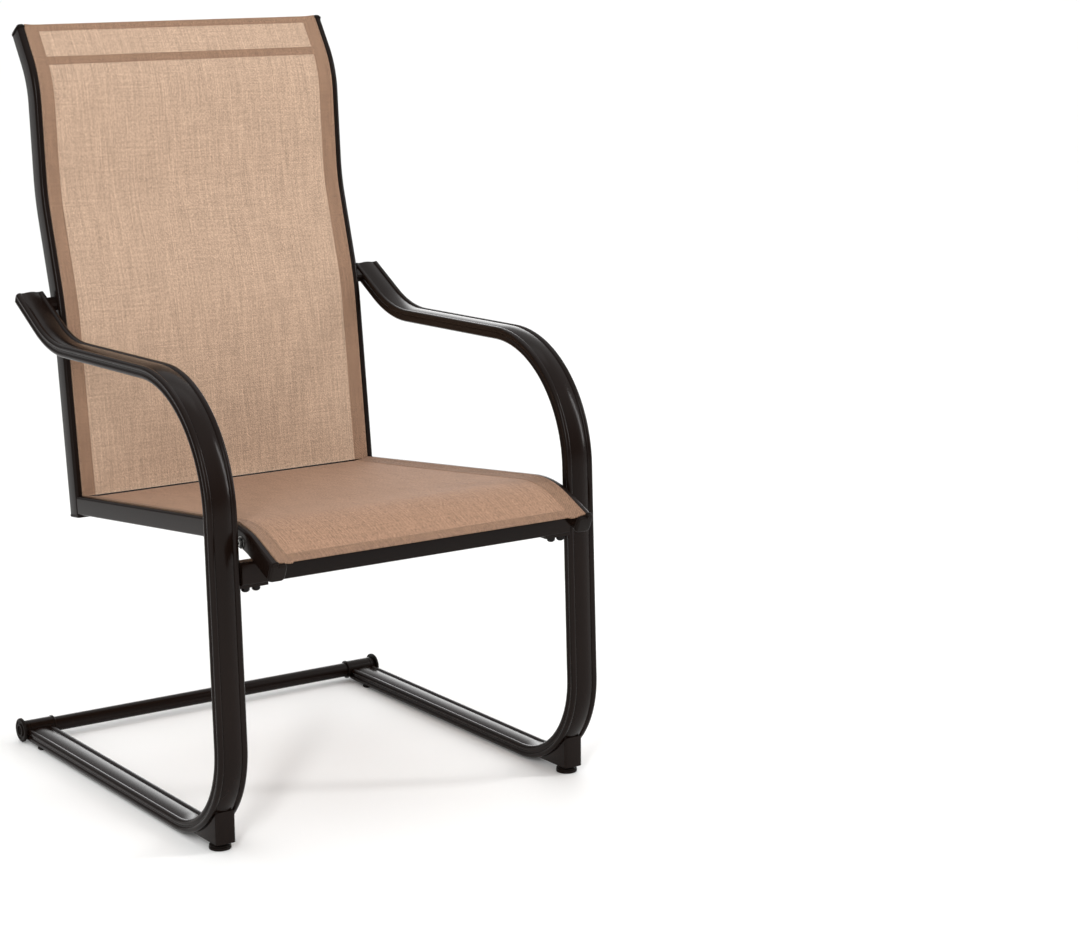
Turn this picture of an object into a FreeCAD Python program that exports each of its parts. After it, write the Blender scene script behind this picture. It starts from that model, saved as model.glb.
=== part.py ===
import FreeCAD, Part
import math
import os
import re

import Sketcher

# Patio dining armchair: two C-shaped spring tubes carry a sling seat and a sling back.
# Millimetres and degrees. X runs across the chair, -Y is the front, Z is up and the floor is Z = 0.
# Only left-hand pieces (negative X) are drawn; the right-hand ones are their mirror images.
SIZES = {
    # C tube: stepped section with a barrel in the middle and two beads on each edge
    "frame_half_span": 278.0,
    "tube_width": 43.0,
    "tube_thick": 19.0,
    "bead_drop": 0.5,
    "bead_chamfer": 2.7,
    "side_groove": 1.6,
    "barrel_width": 26.4,
    "barrel_rise": 2.6,
    "barrel_flat": 13.0,
    # C tube: centreline corners and bend radii, from the runner to the arm end
    "runner_z": 12.5,
    "runner_end_y": 314.0,
    "toe_y": -303.3,
    "toe_radius": 131.0,
    "leg_lean": 1.85,
    "arm_front_z": 620.4,
    "shoulder_radius": 172.0,
    "arm_rear_y": 175.5,
    "arm_rear_z": 611.2,
    "heel_radius": 170.0,
    "arm_end_angle": 29.5,
    "arm_end_run": 118.0,
    # heights between which the toe bend works as the spring
    "spring_low_z": 62.0,
    "spring_high_z": 170.0,
    # rear floor crossbar with sleeves and caps, and glide pads under the runners
    "rear_bar_y": 321.3,
    "rear_bar_z": 18.5,
    "rear_bar_radius": 11.0,
    "bar_wall": 1.6,
    "sleeve_radius": 13.0,
    "sleeve_margin": 1.5,
    "end_cap_radius": 17.7,
    "end_cap_flange": 5.6,
    "glide_y": 272.0,
    "glide_half_width": 20.0,
    "glide_half_length": 6.0,
    "glide_chamfer": 2.0,
    # foot brackets and levelling feet, placed ahead of the centre of the toe bend
    "bracket_width": 29.0,
    "bracket_ahead": 110.5,
    "bracket_bottom_z": 10.0,
    "foot_ahead": 92.0,
    "foot_radius": 15.0,
    "foot_disc": 5.5,
    "foot_stem_radius": 8.0,
    "foot_stem_top_z": 26.0,
    # front crossbar, its tabs, bolts and ears; inward distances start at the middle of the C tube
    "crossbar_bottom_z": 360.5,
    "crossbar_depth": 22.0,
    "crossbar_height": 30.0,
    "crossbar_gap": 0.6,
    "tab_thick": 4.0,
    "tab_width": 16.0,
    "tab_reach": 61.0,
    "tab_bolt_near": 31.5,
    "tab_bolt_far": 47.0,
    "tab_head_height": 7.5,
    "ear_thick": 4.0,
    "ear_width": 22.0,
    "ear_height": 30.5,
    "ear_setback": 5.0,
    "ear_bolt_rise": 23.5,
    # fasteners
    "bolt_neck": 6.0,
    "bolt_head_radius": 6.5,
    "bolt_head_height": 4.0,
    "wide_head_radius": 8.5,
    "nut_radius": 5.6,
    "nut_height": 5.0,
    "hole_gap": 0.35,
    # sling rail section, measured from its outer face and its rear or lower face
    "rail_clearance": 8.5,
    "rail_width": 22.0,
    "rail_depth": 27.0,
    "rail_corner": 2.0,
    "lip_corner": 3.0,
    "lip_width": 9.0,
    "channel_inset": 5.0,
    "channel_depth": 4.4,
    "channel_half": 2.4,
    "slot_width": 2.4,
    # back line: the plane of the back sling, from its foot past the lug bolts and corner by corner upwards
    "back_foot_y": 214.27,
    "back_foot_z": 358.0,
    "lumbar_ahead": 13.32,
    "lumbar_drop": 4.43,
    "lumbar_radius": 400.0,
    "spine_lean": 44.4,
    "spine_rise": 155.0,
    "spine_radius": 250.0,
    "neck_lean": 9.8,
    "neck_rise": 165.0,
    "neck_radius": 130.0,
    "crown_lean": 46.3,
    "crown_rise": 70.0,
    # seat line: the plane of the seat sling, over the crossbar from the back rail to the front edge
    "seat_tilt": 6.17,
    "crest_y": -282.3,
    "crest_rise": 44.7,
    "crest_radius": 160.0,
    "front_y": -364.0,
    "front_drop": 37.2,
    # slings and the spline rods that hold them
    "sling_thick": 1.2,
    "spline_half": 2.0,
    "sling_gap": 0.4,
    "seat_sling_rear_y": 211.5,
    "back_sling_low_z": 383.5,
    # rail end caps, plugs and spreader bars
    "cap_thick": 4.0,
    "cap_overhang": 0.5,
    "cap_stem": 12.0,
    "stem_length": 10.0,
    "arm_plug_head": 2.0,
    "lower_spreader_z": 373.5,
    "lower_spreader_radius": 9.5,
    "upper_spreader_rise": 25.0,
    "upper_spreader_radius": 8.0,
    "spreader_setback": 12.0,
    # lugs that hang the back rails on the arm ends
    "lug_along": 98.0,
    "lug_half_width": 10.0,
    "lug_half_height": 6.5,
    "lug_chamfer": 2.5,
    "lug_bite": 6.0,
}

os.makedirs("parts", exist_ok=True)
doc = FreeCAD.newDocument("patio_dining_armchair")
sheet = doc.addObject("Spreadsheet::Sheet", "Sizes")
for row, (alias, size) in enumerate(SIZES.items(), start=1):
    sheet.set(f"A{row}", alias)
    sheet.set(f"B{row}", str(size))
    sheet.setAlias(f"B{row}", alias)
doc.recompute()

nodes = []
reader = doc.addObject("PartDesign::Body", "size_reader")


def cells(text):
    """Turns the size names in a formula into references to the sheet."""
    return re.sub(r"[a-z]+_\w+", lambda found: "Sizes." + found.group(), str(text))


def value(text):
    """Works a formula of size names out to a number."""
    return float(reader.evalExpression(cells(text)))


def bind(item, **formulas):
    """Binds properties of an object to formulas; double underscores stand for dots."""
    for name, formula in formulas.items():
        item.setExpression(name.replace("__", "."), cells(formula))


def place(item, x="0", y="0", z="0", angle="0"):
    """Places an object by formulas, turned by an angle about X."""
    item.Placement = FreeCAD.Placement(FreeCAD.Vector(), FreeCAD.Rotation(FreeCAD.Vector(1, 0, 0), 1))
    bind(item, Placement__Base__x=x, Placement__Base__y=y, Placement__Base__z=z)
    bind(item, Placement__Rotation__Angle=angle)
    return item


def deliver(item, label):
    """Names a finished piece and lists it for export."""
    item.Label = label
    nodes.append(item)
    return item


def deliver_pair(left, name):
    """Delivers a left-hand piece and its mirror image."""
    right = doc.addObject("Part::Mirroring", "right_" + name)
    right.Source = left
    right.Normal = (1, 0, 0)
    deliver(left, "left_" + name)
    deliver(right, "right_" + name)


def new_sketch(body, plane, x="0", y="0", z="0", angle="0"):
    """Adds a sketch on one of the body's origin planes, shifted and turned about its own X."""
    sketch = body.newObject("Sketcher::SketchObject", body.Name + "_sketch")
    support = [item for item in body.Origin.OriginFeatures if item.Role == plane][0]
    sketch.AttachmentSupport = [(support, "")]
    sketch.MapMode = "FlatFace"
    turn = FreeCAD.Rotation(FreeCAD.Vector(1, 0, 0), 1)
    sketch.AttachmentOffset = FreeCAD.Placement(FreeCAD.Vector(), turn)
    bind(sketch, AttachmentOffset__Base__x=x, AttachmentOffset__Base__y=y, AttachmentOffset__Base__z=z)
    bind(sketch, AttachmentOffset__Rotation__Angle=angle)
    return sketch


def driven(sketch, constraint, name, formula):
    """Adds a named constraint and binds its value to a formula."""
    sketch.renameConstraint(sketch.addConstraint(constraint), name)
    sketch.setExpression("Constraints." + name, cells(formula))


def fix_point(sketch, geometry, end, name, x, y):
    """Ties a sketch point to the origin by two driven distances."""
    across = Sketcher.Constraint("DistanceX", -1, 1, geometry, end, value(x))
    driven(sketch, across, name + "x", x)
    upward = Sketcher.Constraint("DistanceY", -1, 1, geometry, end, value(y))
    driven(sketch, upward, name + "y", y)


def arc_between(start, end, radius, clockwise):
    """Returns the arc of less than half a turn between two points."""
    chord = end - start
    half = chord.Length / 2
    side = FreeCAD.Vector(-chord.y, chord.x, 0).normalize()
    reach = math.sqrt(max(radius * radius - half * half, 0))
    centre = (start + end) / 2 + side * (-reach if clockwise else reach)
    first, last = (end, start) if clockwise else (start, end)
    circle = Part.Circle(centre, FreeCAD.Vector(0, 0, 1), radius)
    return Part.ArcOfCircle(circle, circle.parameter(first), circle.parameter(last))


def outline(sketch, corners):
    """Draws a closed outline; a corner is x, y and, for an arc to the next one, radius and direction."""
    points = [FreeCAD.Vector(value(corner[0]), value(corner[1]), 0) for corner in corners]
    ends = []
    for index, corner in enumerate(corners):
        start = points[index]
        end = points[(index + 1) % len(points)]
        if len(corner) == 2:
            edge = sketch.addGeometry(Part.LineSegment(start, end), False)
            ends.append((edge, 1, 2))
            continue
        clockwise = corner[3] == "cw"
        radius = value(corner[2])
        edge = sketch.addGeometry(arc_between(start, end, radius, clockwise), False)
        ends.append((edge, 2, 1) if clockwise else (edge, 1, 2))
    for index, corner in enumerate(corners):
        edge, first, _ = ends[index]
        before, _, last = ends[index - 1]
        sketch.addConstraint(Sketcher.Constraint("Coincident", before, last, edge, first))
        fix_point(sketch, edge, first, f"corner{index}", corner[0], corner[1])
        if len(corner) > 2:
            radius = Sketcher.Constraint("Radius", edge, value(corner[2]))
            driven(sketch, radius, f"radius{index}", corner[2])
    return sketch


def chamfered_box(x0, x1, y0, y1, corner):
    """Returns the outline of a rectangle with cut corners."""
    return [
        (f"{x0} + {corner}", y0),
        (f"{x1} - {corner}", y0),
        (x1, f"{y0} + {corner}"),
        (x1, f"{y1} - {corner}"),
        (f"{x1} - {corner}", y1),
        (f"{x0} + {corner}", y1),
        (x0, f"{y1} - {corner}"),
        (x0, f"{y0} + {corner}"),
    ]


def polygon(radius, sides):
    """Returns the corners of a regular polygon about the origin."""
    turns = [corner * 360 / sides for corner in range(sides)]
    return [(f"{radius} * cos({turn})", f"{radius} * sin({turn})") for turn in turns]


def bent_path(body, corners, radii):
    """Draws a bent centreline in the side plane: straight runs through the corners, joined by tangent arcs."""
    sketch = new_sketch(body, "YZ_Plane")
    points = [FreeCAD.Vector(value(y), value(z), 0) for y, z in corners]
    stations = [points[0]]
    for index, radius in enumerate(radii, start=1):
        back = (points[index - 1] - points[index]).normalize()
        ahead = (points[index + 1] - points[index]).normalize()
        reach = value(radius) / math.tan(back.getAngle(ahead) / 2)
        stations += [points[index] + back * reach, points[index] + ahead * reach]
    stations.append(points[-1])
    runs = []
    for index in range(len(corners) - 1):
        run = Part.LineSegment(stations[2 * index], stations[2 * index + 1])
        runs.append(sketch.addGeometry(run, False))
    fix_point(sketch, runs[0], 1, "start", *corners[0])
    fix_point(sketch, runs[-1], 2, "finish", *corners[-1])
    for index, radius in enumerate(radii, start=1):
        start, end = stations[2 * index - 1], stations[2 * index]
        turn = (points[index] - points[index - 1]).cross(points[index + 1] - points[index]).z
        bend = sketch.addGeometry(arc_between(start, end, value(radius), turn < 0), False)
        first, last = (2, 1) if turn < 0 else (1, 2)
        sketch.addConstraint(Sketcher.Constraint("Tangent", runs[index - 1], 2, bend, first))
        sketch.addConstraint(Sketcher.Constraint("Tangent", runs[index], 1, bend, last))
        driven(sketch, Sketcher.Constraint("Radius", bend, value(radius)), f"bend{index}", radius)
        corner = sketch.addGeometry(Part.Point(points[index]), True)
        sketch.addConstraint(Sketcher.Constraint("PointOnObject", corner, 1, runs[index - 1]))
        sketch.addConstraint(Sketcher.Constraint("PointOnObject", corner, 1, runs[index]))
        fix_point(sketch, corner, 1, f"bend{index}", *corners[index])
    return sketch


def sweep(body, path, profile):
    """Sweeps a profile along the whole path inside its body."""
    doc.recompute()
    pipe = body.newObject("PartDesign::AdditivePipe", body.Name + "_sweep")
    pipe.Profile = profile
    pipe.Spine = (path, [f"Edge{index + 1}" for index in range(len(path.Shape.Edges))])
    return body


def new_body(name):
    """Adds an empty body."""
    return doc.addObject("PartDesign::Body", name)


def padded(name, corners, length, plane="XY_Plane", both_ways=False):
    """Pads an outline drawn on an origin plane."""
    body = new_body(name)
    pad = body.newObject("PartDesign::Pad", name + "_pad")
    pad.Profile = outline(new_sketch(body, plane), corners)
    pad.SideType = "Symmetric" if both_ways else "One side"
    bind(pad, Length=length)
    return body


def turned(name, corners):
    """Turns an outline of radii and heights about Z."""
    body = new_body(name)
    sketch = outline(new_sketch(body, "XZ_Plane"), corners)
    solid = body.newObject("PartDesign::Revolution", name + "_turning")
    solid.Profile = sketch
    solid.ReferenceAxis = (sketch, ["V_Axis"])
    solid.Angle = 360
    return body


def block(name, length, width, height):
    """Adds a box with driven sides."""
    box = doc.addObject("Part::Box", name)
    bind(box, Length=length, Width=width, Height=height)
    return box


def rod(name, radius, height):
    """Adds a cylinder along Z with driven radius and height."""
    cylinder = doc.addObject("Part::Cylinder", name)
    bind(cylinder, Radius=radius, Height=height)
    return cylinder


def across(item, x="0", y="0", z="0", turn=90):
    """Places a piece drawn along Z so that it points along +X, or along -X with a turn of -90."""
    item.Placement = FreeCAD.Placement(FreeCAD.Vector(), FreeCAD.Rotation(FreeCAD.Vector(0, 1, 0), turn))
    bind(item, Placement__Base__x=x, Placement__Base__y=y, Placement__Base__z=z)
    return item


def fuse(name, *pieces):
    """Joins pieces into one solid."""
    joined = doc.addObject("Part::MultiFuse", name)
    joined.Shapes = list(pieces)
    return joined


def cut(name, base, *tools):
    """Takes tools off a piece."""
    tool = tools[0] if len(tools) == 1 else fuse(name + "_tools", *tools)
    result = doc.addObject("Part::Cut", name)
    result.Base = base
    result.Tool = tool
    return result


def common(name, base, tool):
    """Keeps what two shapes share."""
    result = doc.addObject("Part::Common", name)
    result.Base = base
    result.Tool = tool
    return result


def group(name, pieces):
    """Groups separate solids of one kind and their mirror images."""
    doc.recompute()
    mirrored = []
    for index, piece in enumerate(pieces):
        twin = doc.addObject("Part::Mirroring", f"{name}_twin{index}")
        twin.Source = piece
        twin.Normal = (1, 0, 0)
        mirrored.append(twin)
    compound = doc.addObject("Part::Compound", name)
    compound.Links = pieces + mirrored
    return deliver(compound, name)


# C tubes

GROOVE_X = "(tube_width / 2 - side_groove)"
BEAD_TOP = "(tube_thick / 2 - bead_drop)"
QUARTER = [
    ("tube_width / 2", f"({BEAD_TOP} - bead_chamfer)"),
    ("(tube_width / 2 - bead_chamfer)", BEAD_TOP),
    ("barrel_width / 2", "(tube_thick / 2 - barrel_rise)"),
    ("barrel_flat / 2", "tube_thick / 2"),
]
STEPPED_OVAL = [(GROOVE_X, "0")] + QUARTER + [(f"-{x}", z) for x, z in reversed(QUARTER)]
STEPPED_OVAL += [(f"-{GROOVE_X}", "0")] + [(f"-{x}", f"-{z}") for x, z in QUARTER]
STEPPED_OVAL += [(x, f"-{z}") for x, z in reversed(QUARTER)]
LEG_TOP_Y = "(toe_y + (arm_front_z - runner_z) * tan(leg_lean))"
ARM_END_Y = "(arm_rear_y + arm_end_run * cos(arm_end_angle))"
ARM_END_Z = "(arm_rear_z + arm_end_run * sin(arm_end_angle))"
C_CORNERS = [
    ("runner_end_y", "runner_z"),
    ("toe_y", "runner_z"),
    (LEG_TOP_Y, "arm_front_z"),
    ("arm_rear_y", "arm_rear_z"),
    (ARM_END_Y, ARM_END_Z),
]

c_tube = new_body("c_tube")
c_path = bent_path(c_tube, C_CORNERS, ["toe_radius", "shoulder_radius", "heel_radius"])
c_profile = outline(new_sketch(c_tube, "XZ_Plane", y="runner_z", z="-runner_end_y"), STEPPED_OVAL)
place(sweep(c_tube, c_path, c_profile), x="-frame_half_span")


def slab(name, bottom, top):
    """Adds a box that holds the whole C tube between two heights."""
    box = block(name, "2 * tube_width", "4 * runner_end_y", f"{top} - {bottom}")
    return place(box, x="-frame_half_span - tube_width", y="-2 * runner_end_y", z=bottom)


sleeve_seat = rod("sleeve_seat", "sleeve_radius", "2 * tube_width")
across(sleeve_seat, "-frame_half_span - tube_width", "rear_bar_y", "rear_bar_z")
runner = common("runner_blank", c_tube, slab("runner_slab", "-tube_thick", "spring_low_z"))
deliver_pair(cut("left_runner_tube", runner, sleeve_seat), "runner_tube")
spring = common("left_spring", c_tube, slab("spring_slab", "spring_low_z", "spring_high_z"))
group("spring_bends", [spring])
arm_pocket = block("arm_pocket", "barrel_width", "2 * stem_length", "tube_thick / 2")
ARM_POCKET_Y = f"({ARM_END_Y} - stem_length * cos(arm_end_angle) + tube_thick / 4 * sin(arm_end_angle))"
ARM_POCKET_Z = f"({ARM_END_Z} - stem_length * sin(arm_end_angle) - tube_thick / 4 * cos(arm_end_angle))"
place(arm_pocket, "-frame_half_span - barrel_width / 2", ARM_POCKET_Y, ARM_POCKET_Z, "arm_end_angle")
arm_leg = common("arm_leg_blank", c_tube, slab("arm_slab", "spring_high_z", "2 * arm_front_z"))
deliver_pair(cut("left_arm_leg_tube", arm_leg, arm_pocket), "arm_leg_tube")

plug_stem = block("plug_stem", "barrel_width - 2 * hole_gap", "stem_length", "tube_thick / 2 - 2 * hole_gap")
place(plug_stem, "hole_gap - barrel_width / 2", "hole_gap - stem_length", "hole_gap - tube_thick / 4")
PLUG_HALF = "(tube_thick / 2 - bead_drop - barrel_rise)"
plug_face = chamfered_box("(1 - tube_width / 2)", "(tube_width / 2 - 1)", f"-{PLUG_HALF}", PLUG_HALF, "bead_chamfer")
plug_head = padded("plug_head", plug_face, "arm_plug_head", "XZ_Plane")
place(plug_head, y="arm_plug_head + hole_gap")
plug = fuse("left_arm_end_plug", plug_stem, plug_head)
place(plug, "-frame_half_span", ARM_END_Y, ARM_END_Z, "arm_end_angle")
deliver_pair(plug, "arm_end_plug")

# rear floor crossbar

BAR_HALF = "(frame_half_span + tube_width / 2 + sleeve_margin)"
bar_skin = across(rod("bar_skin", "rear_bar_radius", f"2 * {BAR_HALF}"), f"-{BAR_HALF}", "rear_bar_y", "rear_bar_z")
bar_bore = rod("bar_bore", "rear_bar_radius - bar_wall", f"3 * {BAR_HALF}")
across(bar_bore, f"-1.5 * {BAR_HALF}", "rear_bar_y", "rear_bar_z")
deliver(cut("rear_crossbar", bar_skin, bar_bore), "rear_crossbar")

SLEEVE_LENGTH = "(tube_width + 4 * sleeve_margin)"
sleeve = turned("left_sleeve", [
    ("rear_bar_radius + 0.1", "0"),
    ("sleeve_radius", "0"),
    ("sleeve_radius", SLEEVE_LENGTH),
    ("rear_bar_radius + 0.1", SLEEVE_LENGTH),
])
across(sleeve, f"-{BAR_HALF}", "rear_bar_y", "rear_bar_z")
group("rear_sleeves", [sleeve])

# the cap is drawn with its stem towards +Z, so that the flange ends up outside
STEM_RADIUS = "(rear_bar_radius - bar_wall - hole_gap)"
end_cap = turned("left_end_cap", [
    ("0", "-end_cap_flange"),
    ("end_cap_radius", "-end_cap_flange"),
    ("end_cap_radius", "-hole_gap"),
    (STEM_RADIUS, "-hole_gap"),
    (STEM_RADIUS, "stem_length"),
    ("0", "stem_length"),
])
across(end_cap, f"-{BAR_HALF}", "rear_bar_y", "rear_bar_z")
group("rear_end_caps", [end_cap])

glide_face = chamfered_box("-glide_half_width", "glide_half_width", "-glide_half_length", "glide_half_length",
                           "glide_chamfer")
glide = padded("left_glide", glide_face, "runner_z - tube_thick / 2")
place(glide, "-frame_half_span", "glide_y", "0")
group("runner_glides", [glide])

# foot brackets under the toe bends, seated on the tube

TOE_REACH = "(toe_radius / tan(45 - leg_lean / 2))"
TOE_CENTRE_Y = f"(toe_y + {TOE_REACH})"
TOE_CENTRE_Z = "(runner_z + toe_radius)"
BRACKET_FRONT_Y = f"({TOE_CENTRE_Y} - bracket_ahead)"
BRACKET_REAR_Y = f"({TOE_CENTRE_Y} - toe_radius / 6)"
FOOT_Y = f"({TOE_CENTRE_Y} - foot_ahead)"
bracket_side = [
    (BRACKET_FRONT_Y, "bracket_bottom_z"),
    (BRACKET_REAR_Y, "bracket_bottom_z"),
    (BRACKET_REAR_Y, f"{TOE_CENTRE_Z} - sqrt(toe_radius ^ 2 - (toe_radius / 6) ^ 2)", "toe_radius", "cw"),
    (BRACKET_FRONT_Y, f"{TOE_CENTRE_Z} - sqrt(toe_radius ^ 2 - bracket_ahead ^ 2)"),
]
bracket_blank = padded("bracket_blank", bracket_side, "bracket_width", "YZ_Plane", both_ways=True)
place(bracket_blank, x="-frame_half_span")
stem_hole = rod("stem_hole", "foot_stem_radius + hole_gap", "foot_stem_top_z + 1")
place(stem_hole, "-frame_half_span", FOOT_Y, "0")
deliver_pair(cut("left_foot_bracket", bracket_blank, c_tube, stem_hole), "foot_bracket")

foot_pad = rod("foot_pad", "foot_radius", "foot_disc")
foot_stem = padded("foot_stem", polygon("foot_stem_radius", 12), "foot_stem_top_z")
foot = fuse("left_levelling_foot", foot_pad, foot_stem)
place(foot, "-frame_half_span", FOOT_Y, "0")
deliver_pair(foot, "levelling_foot")

# front crossbar on its tabs

CROSSBAR_Y = "(toe_y + (crossbar_bottom_z - runner_z) * tan(leg_lean))"
CROSSBAR_TOP = "(crossbar_bottom_z + crossbar_height)"
CROSSBAR_HALF = "(frame_half_span - tube_width / 2 - crossbar_gap)"
HOLE = "(bolt_neck + 2 * hole_gap)"


def peg(name, side, length):
    """Adds a square bar along Z."""
    half = f"{side} / 2"
    square = [(f"-{half}", f"-{half}"), (half, f"-{half}"), (half, half), (f"-{half}", half)]
    return padded(name, square, length)


def tab_bolt_hole(name, inward):
    """Adds an upright tool for one square bolt hole through tab and crossbar floor."""
    tool = peg(name, HOLE, "6 * tab_thick")
    return place(tool, f"{inward} - frame_half_span", CROSSBAR_Y, "crossbar_bottom_z - 3 * tab_thick")


holes = [tab_bolt_hole("hole_near", "tab_bolt_near"), tab_bolt_hole("hole_far", "tab_bolt_far")]
doc.recompute()
far_holes = []
for hole in holes:
    far_hole = doc.addObject("Part::Mirroring", "far_" + hole.Name)
    far_hole.Source = hole
    far_hole.Normal = (1, 0, 0)
    far_holes.append(far_hole)
crossbar_skin = block("crossbar_skin", f"2 * {CROSSBAR_HALF}", "crossbar_depth", "crossbar_height")
place(crossbar_skin, f"-{CROSSBAR_HALF}", f"{CROSSBAR_Y} - crossbar_depth / 2", "crossbar_bottom_z")
crossbar_bore = block("crossbar_bore", f"3 * {CROSSBAR_HALF}", "crossbar_depth - 2 * bar_wall",
                      "crossbar_height - 2 * bar_wall")
place(crossbar_bore, f"-1.5 * {CROSSBAR_HALF}", f"{CROSSBAR_Y} - crossbar_depth / 2 + bar_wall",
      "crossbar_bottom_z + bar_wall")
deliver(cut("front_crossbar", crossbar_skin, crossbar_bore, *holes, *far_holes), "front_crossbar")

TAB_ROOT = "(tube_width / 2 - bead_chamfer)"
tab_blank = block("tab_blank", f"tab_reach - {TAB_ROOT}", "tab_width", "tab_thick")
place(tab_blank, f"{TAB_ROOT} - frame_half_span", f"{CROSSBAR_Y} - tab_width / 2", "crossbar_bottom_z - tab_thick")
deliver_pair(cut("left_crossbar_tab", tab_blank, c_tube, *holes), "crossbar_tab")


def bolt(name, grip, head_radius="bolt_head_radius", head_height="bolt_head_height", nut=True):
    """Adds a carriage bolt along Z: a flat head below Z = 0, a square neck and a hexagon nut behind the grip."""
    head = padded(name + "_head", polygon(head_radius, 12), head_height)
    pieces = [place(head, z=f"-{head_height}")]
    if nut:
        pieces.append(peg(name + "_neck", "bolt_neck", f"{grip} + nut_height / 2"))
        pieces.append(place(padded(name + "_nut", polygon("nut_radius", 6), "nut_height"), z=grip))
    else:
        pieces.append(peg(name + "_neck", "bolt_neck", grip))
    return fuse(name, *pieces)


tab_bolts = []
for inward in ["tab_bolt_near", "tab_bolt_far"]:
    tab_bolt = bolt(inward + "_piece", "(tab_thick + bar_wall)", head_height="tab_head_height")
    tab_bolts.append(place(tab_bolt, f"{inward} - frame_half_span", CROSSBAR_Y, "crossbar_bottom_z - tab_thick"))
group("crossbar_bolts", tab_bolts)

# sling rails: one section for seat and back, swept along two bent lines

RAIL_BACK = "(rail_depth - channel_depth)"
CHANNEL_IN = "(channel_inset + channel_half)"
CHANNEL_OUT = "(channel_inset - channel_half)"
RAIL_SECTION = [
    ("rail_corner", f"-{RAIL_BACK}"),
    ("rail_width - rail_corner", f"-{RAIL_BACK}"),
    ("rail_width", f"rail_corner - {RAIL_BACK}"),
    ("rail_width", "-slot_width / 2"),
    (CHANNEL_IN, "-slot_width / 2"),
    (CHANNEL_IN, "-channel_half"),
    (CHANNEL_OUT, "-channel_half"),
    (CHANNEL_OUT, "channel_half"),
    (CHANNEL_IN, "channel_half"),
    (CHANNEL_IN, "slot_width / 2"),
    ("lip_width", "slot_width / 2"),
    ("lip_width", "channel_depth"),
    ("lip_corner", "channel_depth"),
    ("0", "channel_depth - lip_corner"),
    ("0", f"rail_corner - {RAIL_BACK}"),
]


LUG_Y = "(arm_rear_y + lug_along * cos(arm_end_angle))"
LUG_Z = "(arm_rear_z + lug_along * sin(arm_end_angle))"
LUMBAR = (f"({LUG_Y} - lumbar_ahead)", f"({LUG_Z} - lumbar_drop)")
SPINE = (f"({LUMBAR[0]} + spine_lean)", f"({LUMBAR[1]} + spine_rise)")
NECK = (f"({SPINE[0]} + neck_lean)", f"({SPINE[1]} + neck_rise)")
CROWN = (f"({NECK[0]} + crown_lean)", f"({NECK[1]} + crown_rise)")
BACK_LEAN = f"atan(({LUMBAR[0]} - back_foot_y) / ({LUMBAR[1]} - back_foot_z))"
CROWN_LEAN = "atan(crown_lean / crown_rise)"
CREST_Z = f"({CROSSBAR_TOP} + crest_rise)"
FRONT_Z = f"({CREST_Z} - front_drop)"
FRONT_SLOPE = "atan(front_drop / (crest_y - front_y))"
BACK_RADII = ["lumbar_radius", "spine_radius", "neck_radius"]


def back_line(start_z, short_by):
    """Returns the corners of the back line from a height to just short of the crown."""
    start_y = f"(back_foot_y + ({start_z} - back_foot_z) * tan({BACK_LEAN}))"
    crown = (f"{CROWN[0]} - {short_by} * sin({CROWN_LEAN})", f"{CROWN[1]} - {short_by} * cos({CROWN_LEAN})")
    return [(start_y, start_z), LUMBAR, SPINE, NECK, crown]


def seat_line(start_y, short_by):
    """Returns the corners of the seat line from behind to just short of the front edge."""
    start_z = f"({CREST_Z} - ({start_y} - crest_y) * tan(seat_tilt))"
    front = (f"front_y + {short_by} * cos({FRONT_SLOPE})", f"{FRONT_Z} + {short_by} * sin({FRONT_SLOPE})")
    return [(start_y, start_z), ("crest_y", CREST_Z), front]


def along_back(name, section, start_z, short_by="0"):
    """Sweeps a section, given with its front side upwards, along the back line."""
    body = new_body(name)
    line = back_line(start_z, short_by)
    path = bent_path(body, line, BACK_RADII)
    sketch = new_sketch(body, "XY_Plane", y=line[0][0], z=line[0][1], angle=f"-{BACK_LEAN}")
    return sweep(body, path, outline(sketch, [(x, f"-({y})") for x, y in section]))


def along_seat(name, section, start_y, short_by="0"):
    """Sweeps a section, given with its top side upwards, along the seat line."""
    body = new_body(name)
    line = seat_line(start_y, short_by)
    path = bent_path(body, line, ["crest_radius"])
    sketch = new_sketch(body, "XZ_Plane", y=line[0][1], z=f"-({line[0][0]})", angle="-seat_tilt")
    return sweep(body, path, outline(sketch, section))


RAIL_OUTER = "(frame_half_span - tube_width / 2 - rail_clearance)"
RAIL_X = f"-{RAIL_OUTER}"
STEM_U = "((rail_width - cap_stem) / 2)"
STEM_LOW = f"({STEM_U} - {RAIL_BACK})"
TOP_END = (*CROWN, f"-{CROWN_LEAN}")
FOOT_END = ("back_foot_y", "back_foot_z", f"180 deg - {BACK_LEAN}")
FRONT_END = ("front_y", FRONT_Z, f"90 deg + {FRONT_SLOPE}")


def rail_stem(name, clearance, length, start, flipped):
    """Adds the square stem of a rail cap, or with no clearance the pocket it sits in."""
    side = f"cap_stem - 2 * {clearance}"
    low = f"-{STEM_LOW} - cap_stem" if flipped else STEM_LOW
    return place(block(name, side, side, length), f"{STEM_U} + {clearance}", f"{low} + {clearance}", start)


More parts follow.
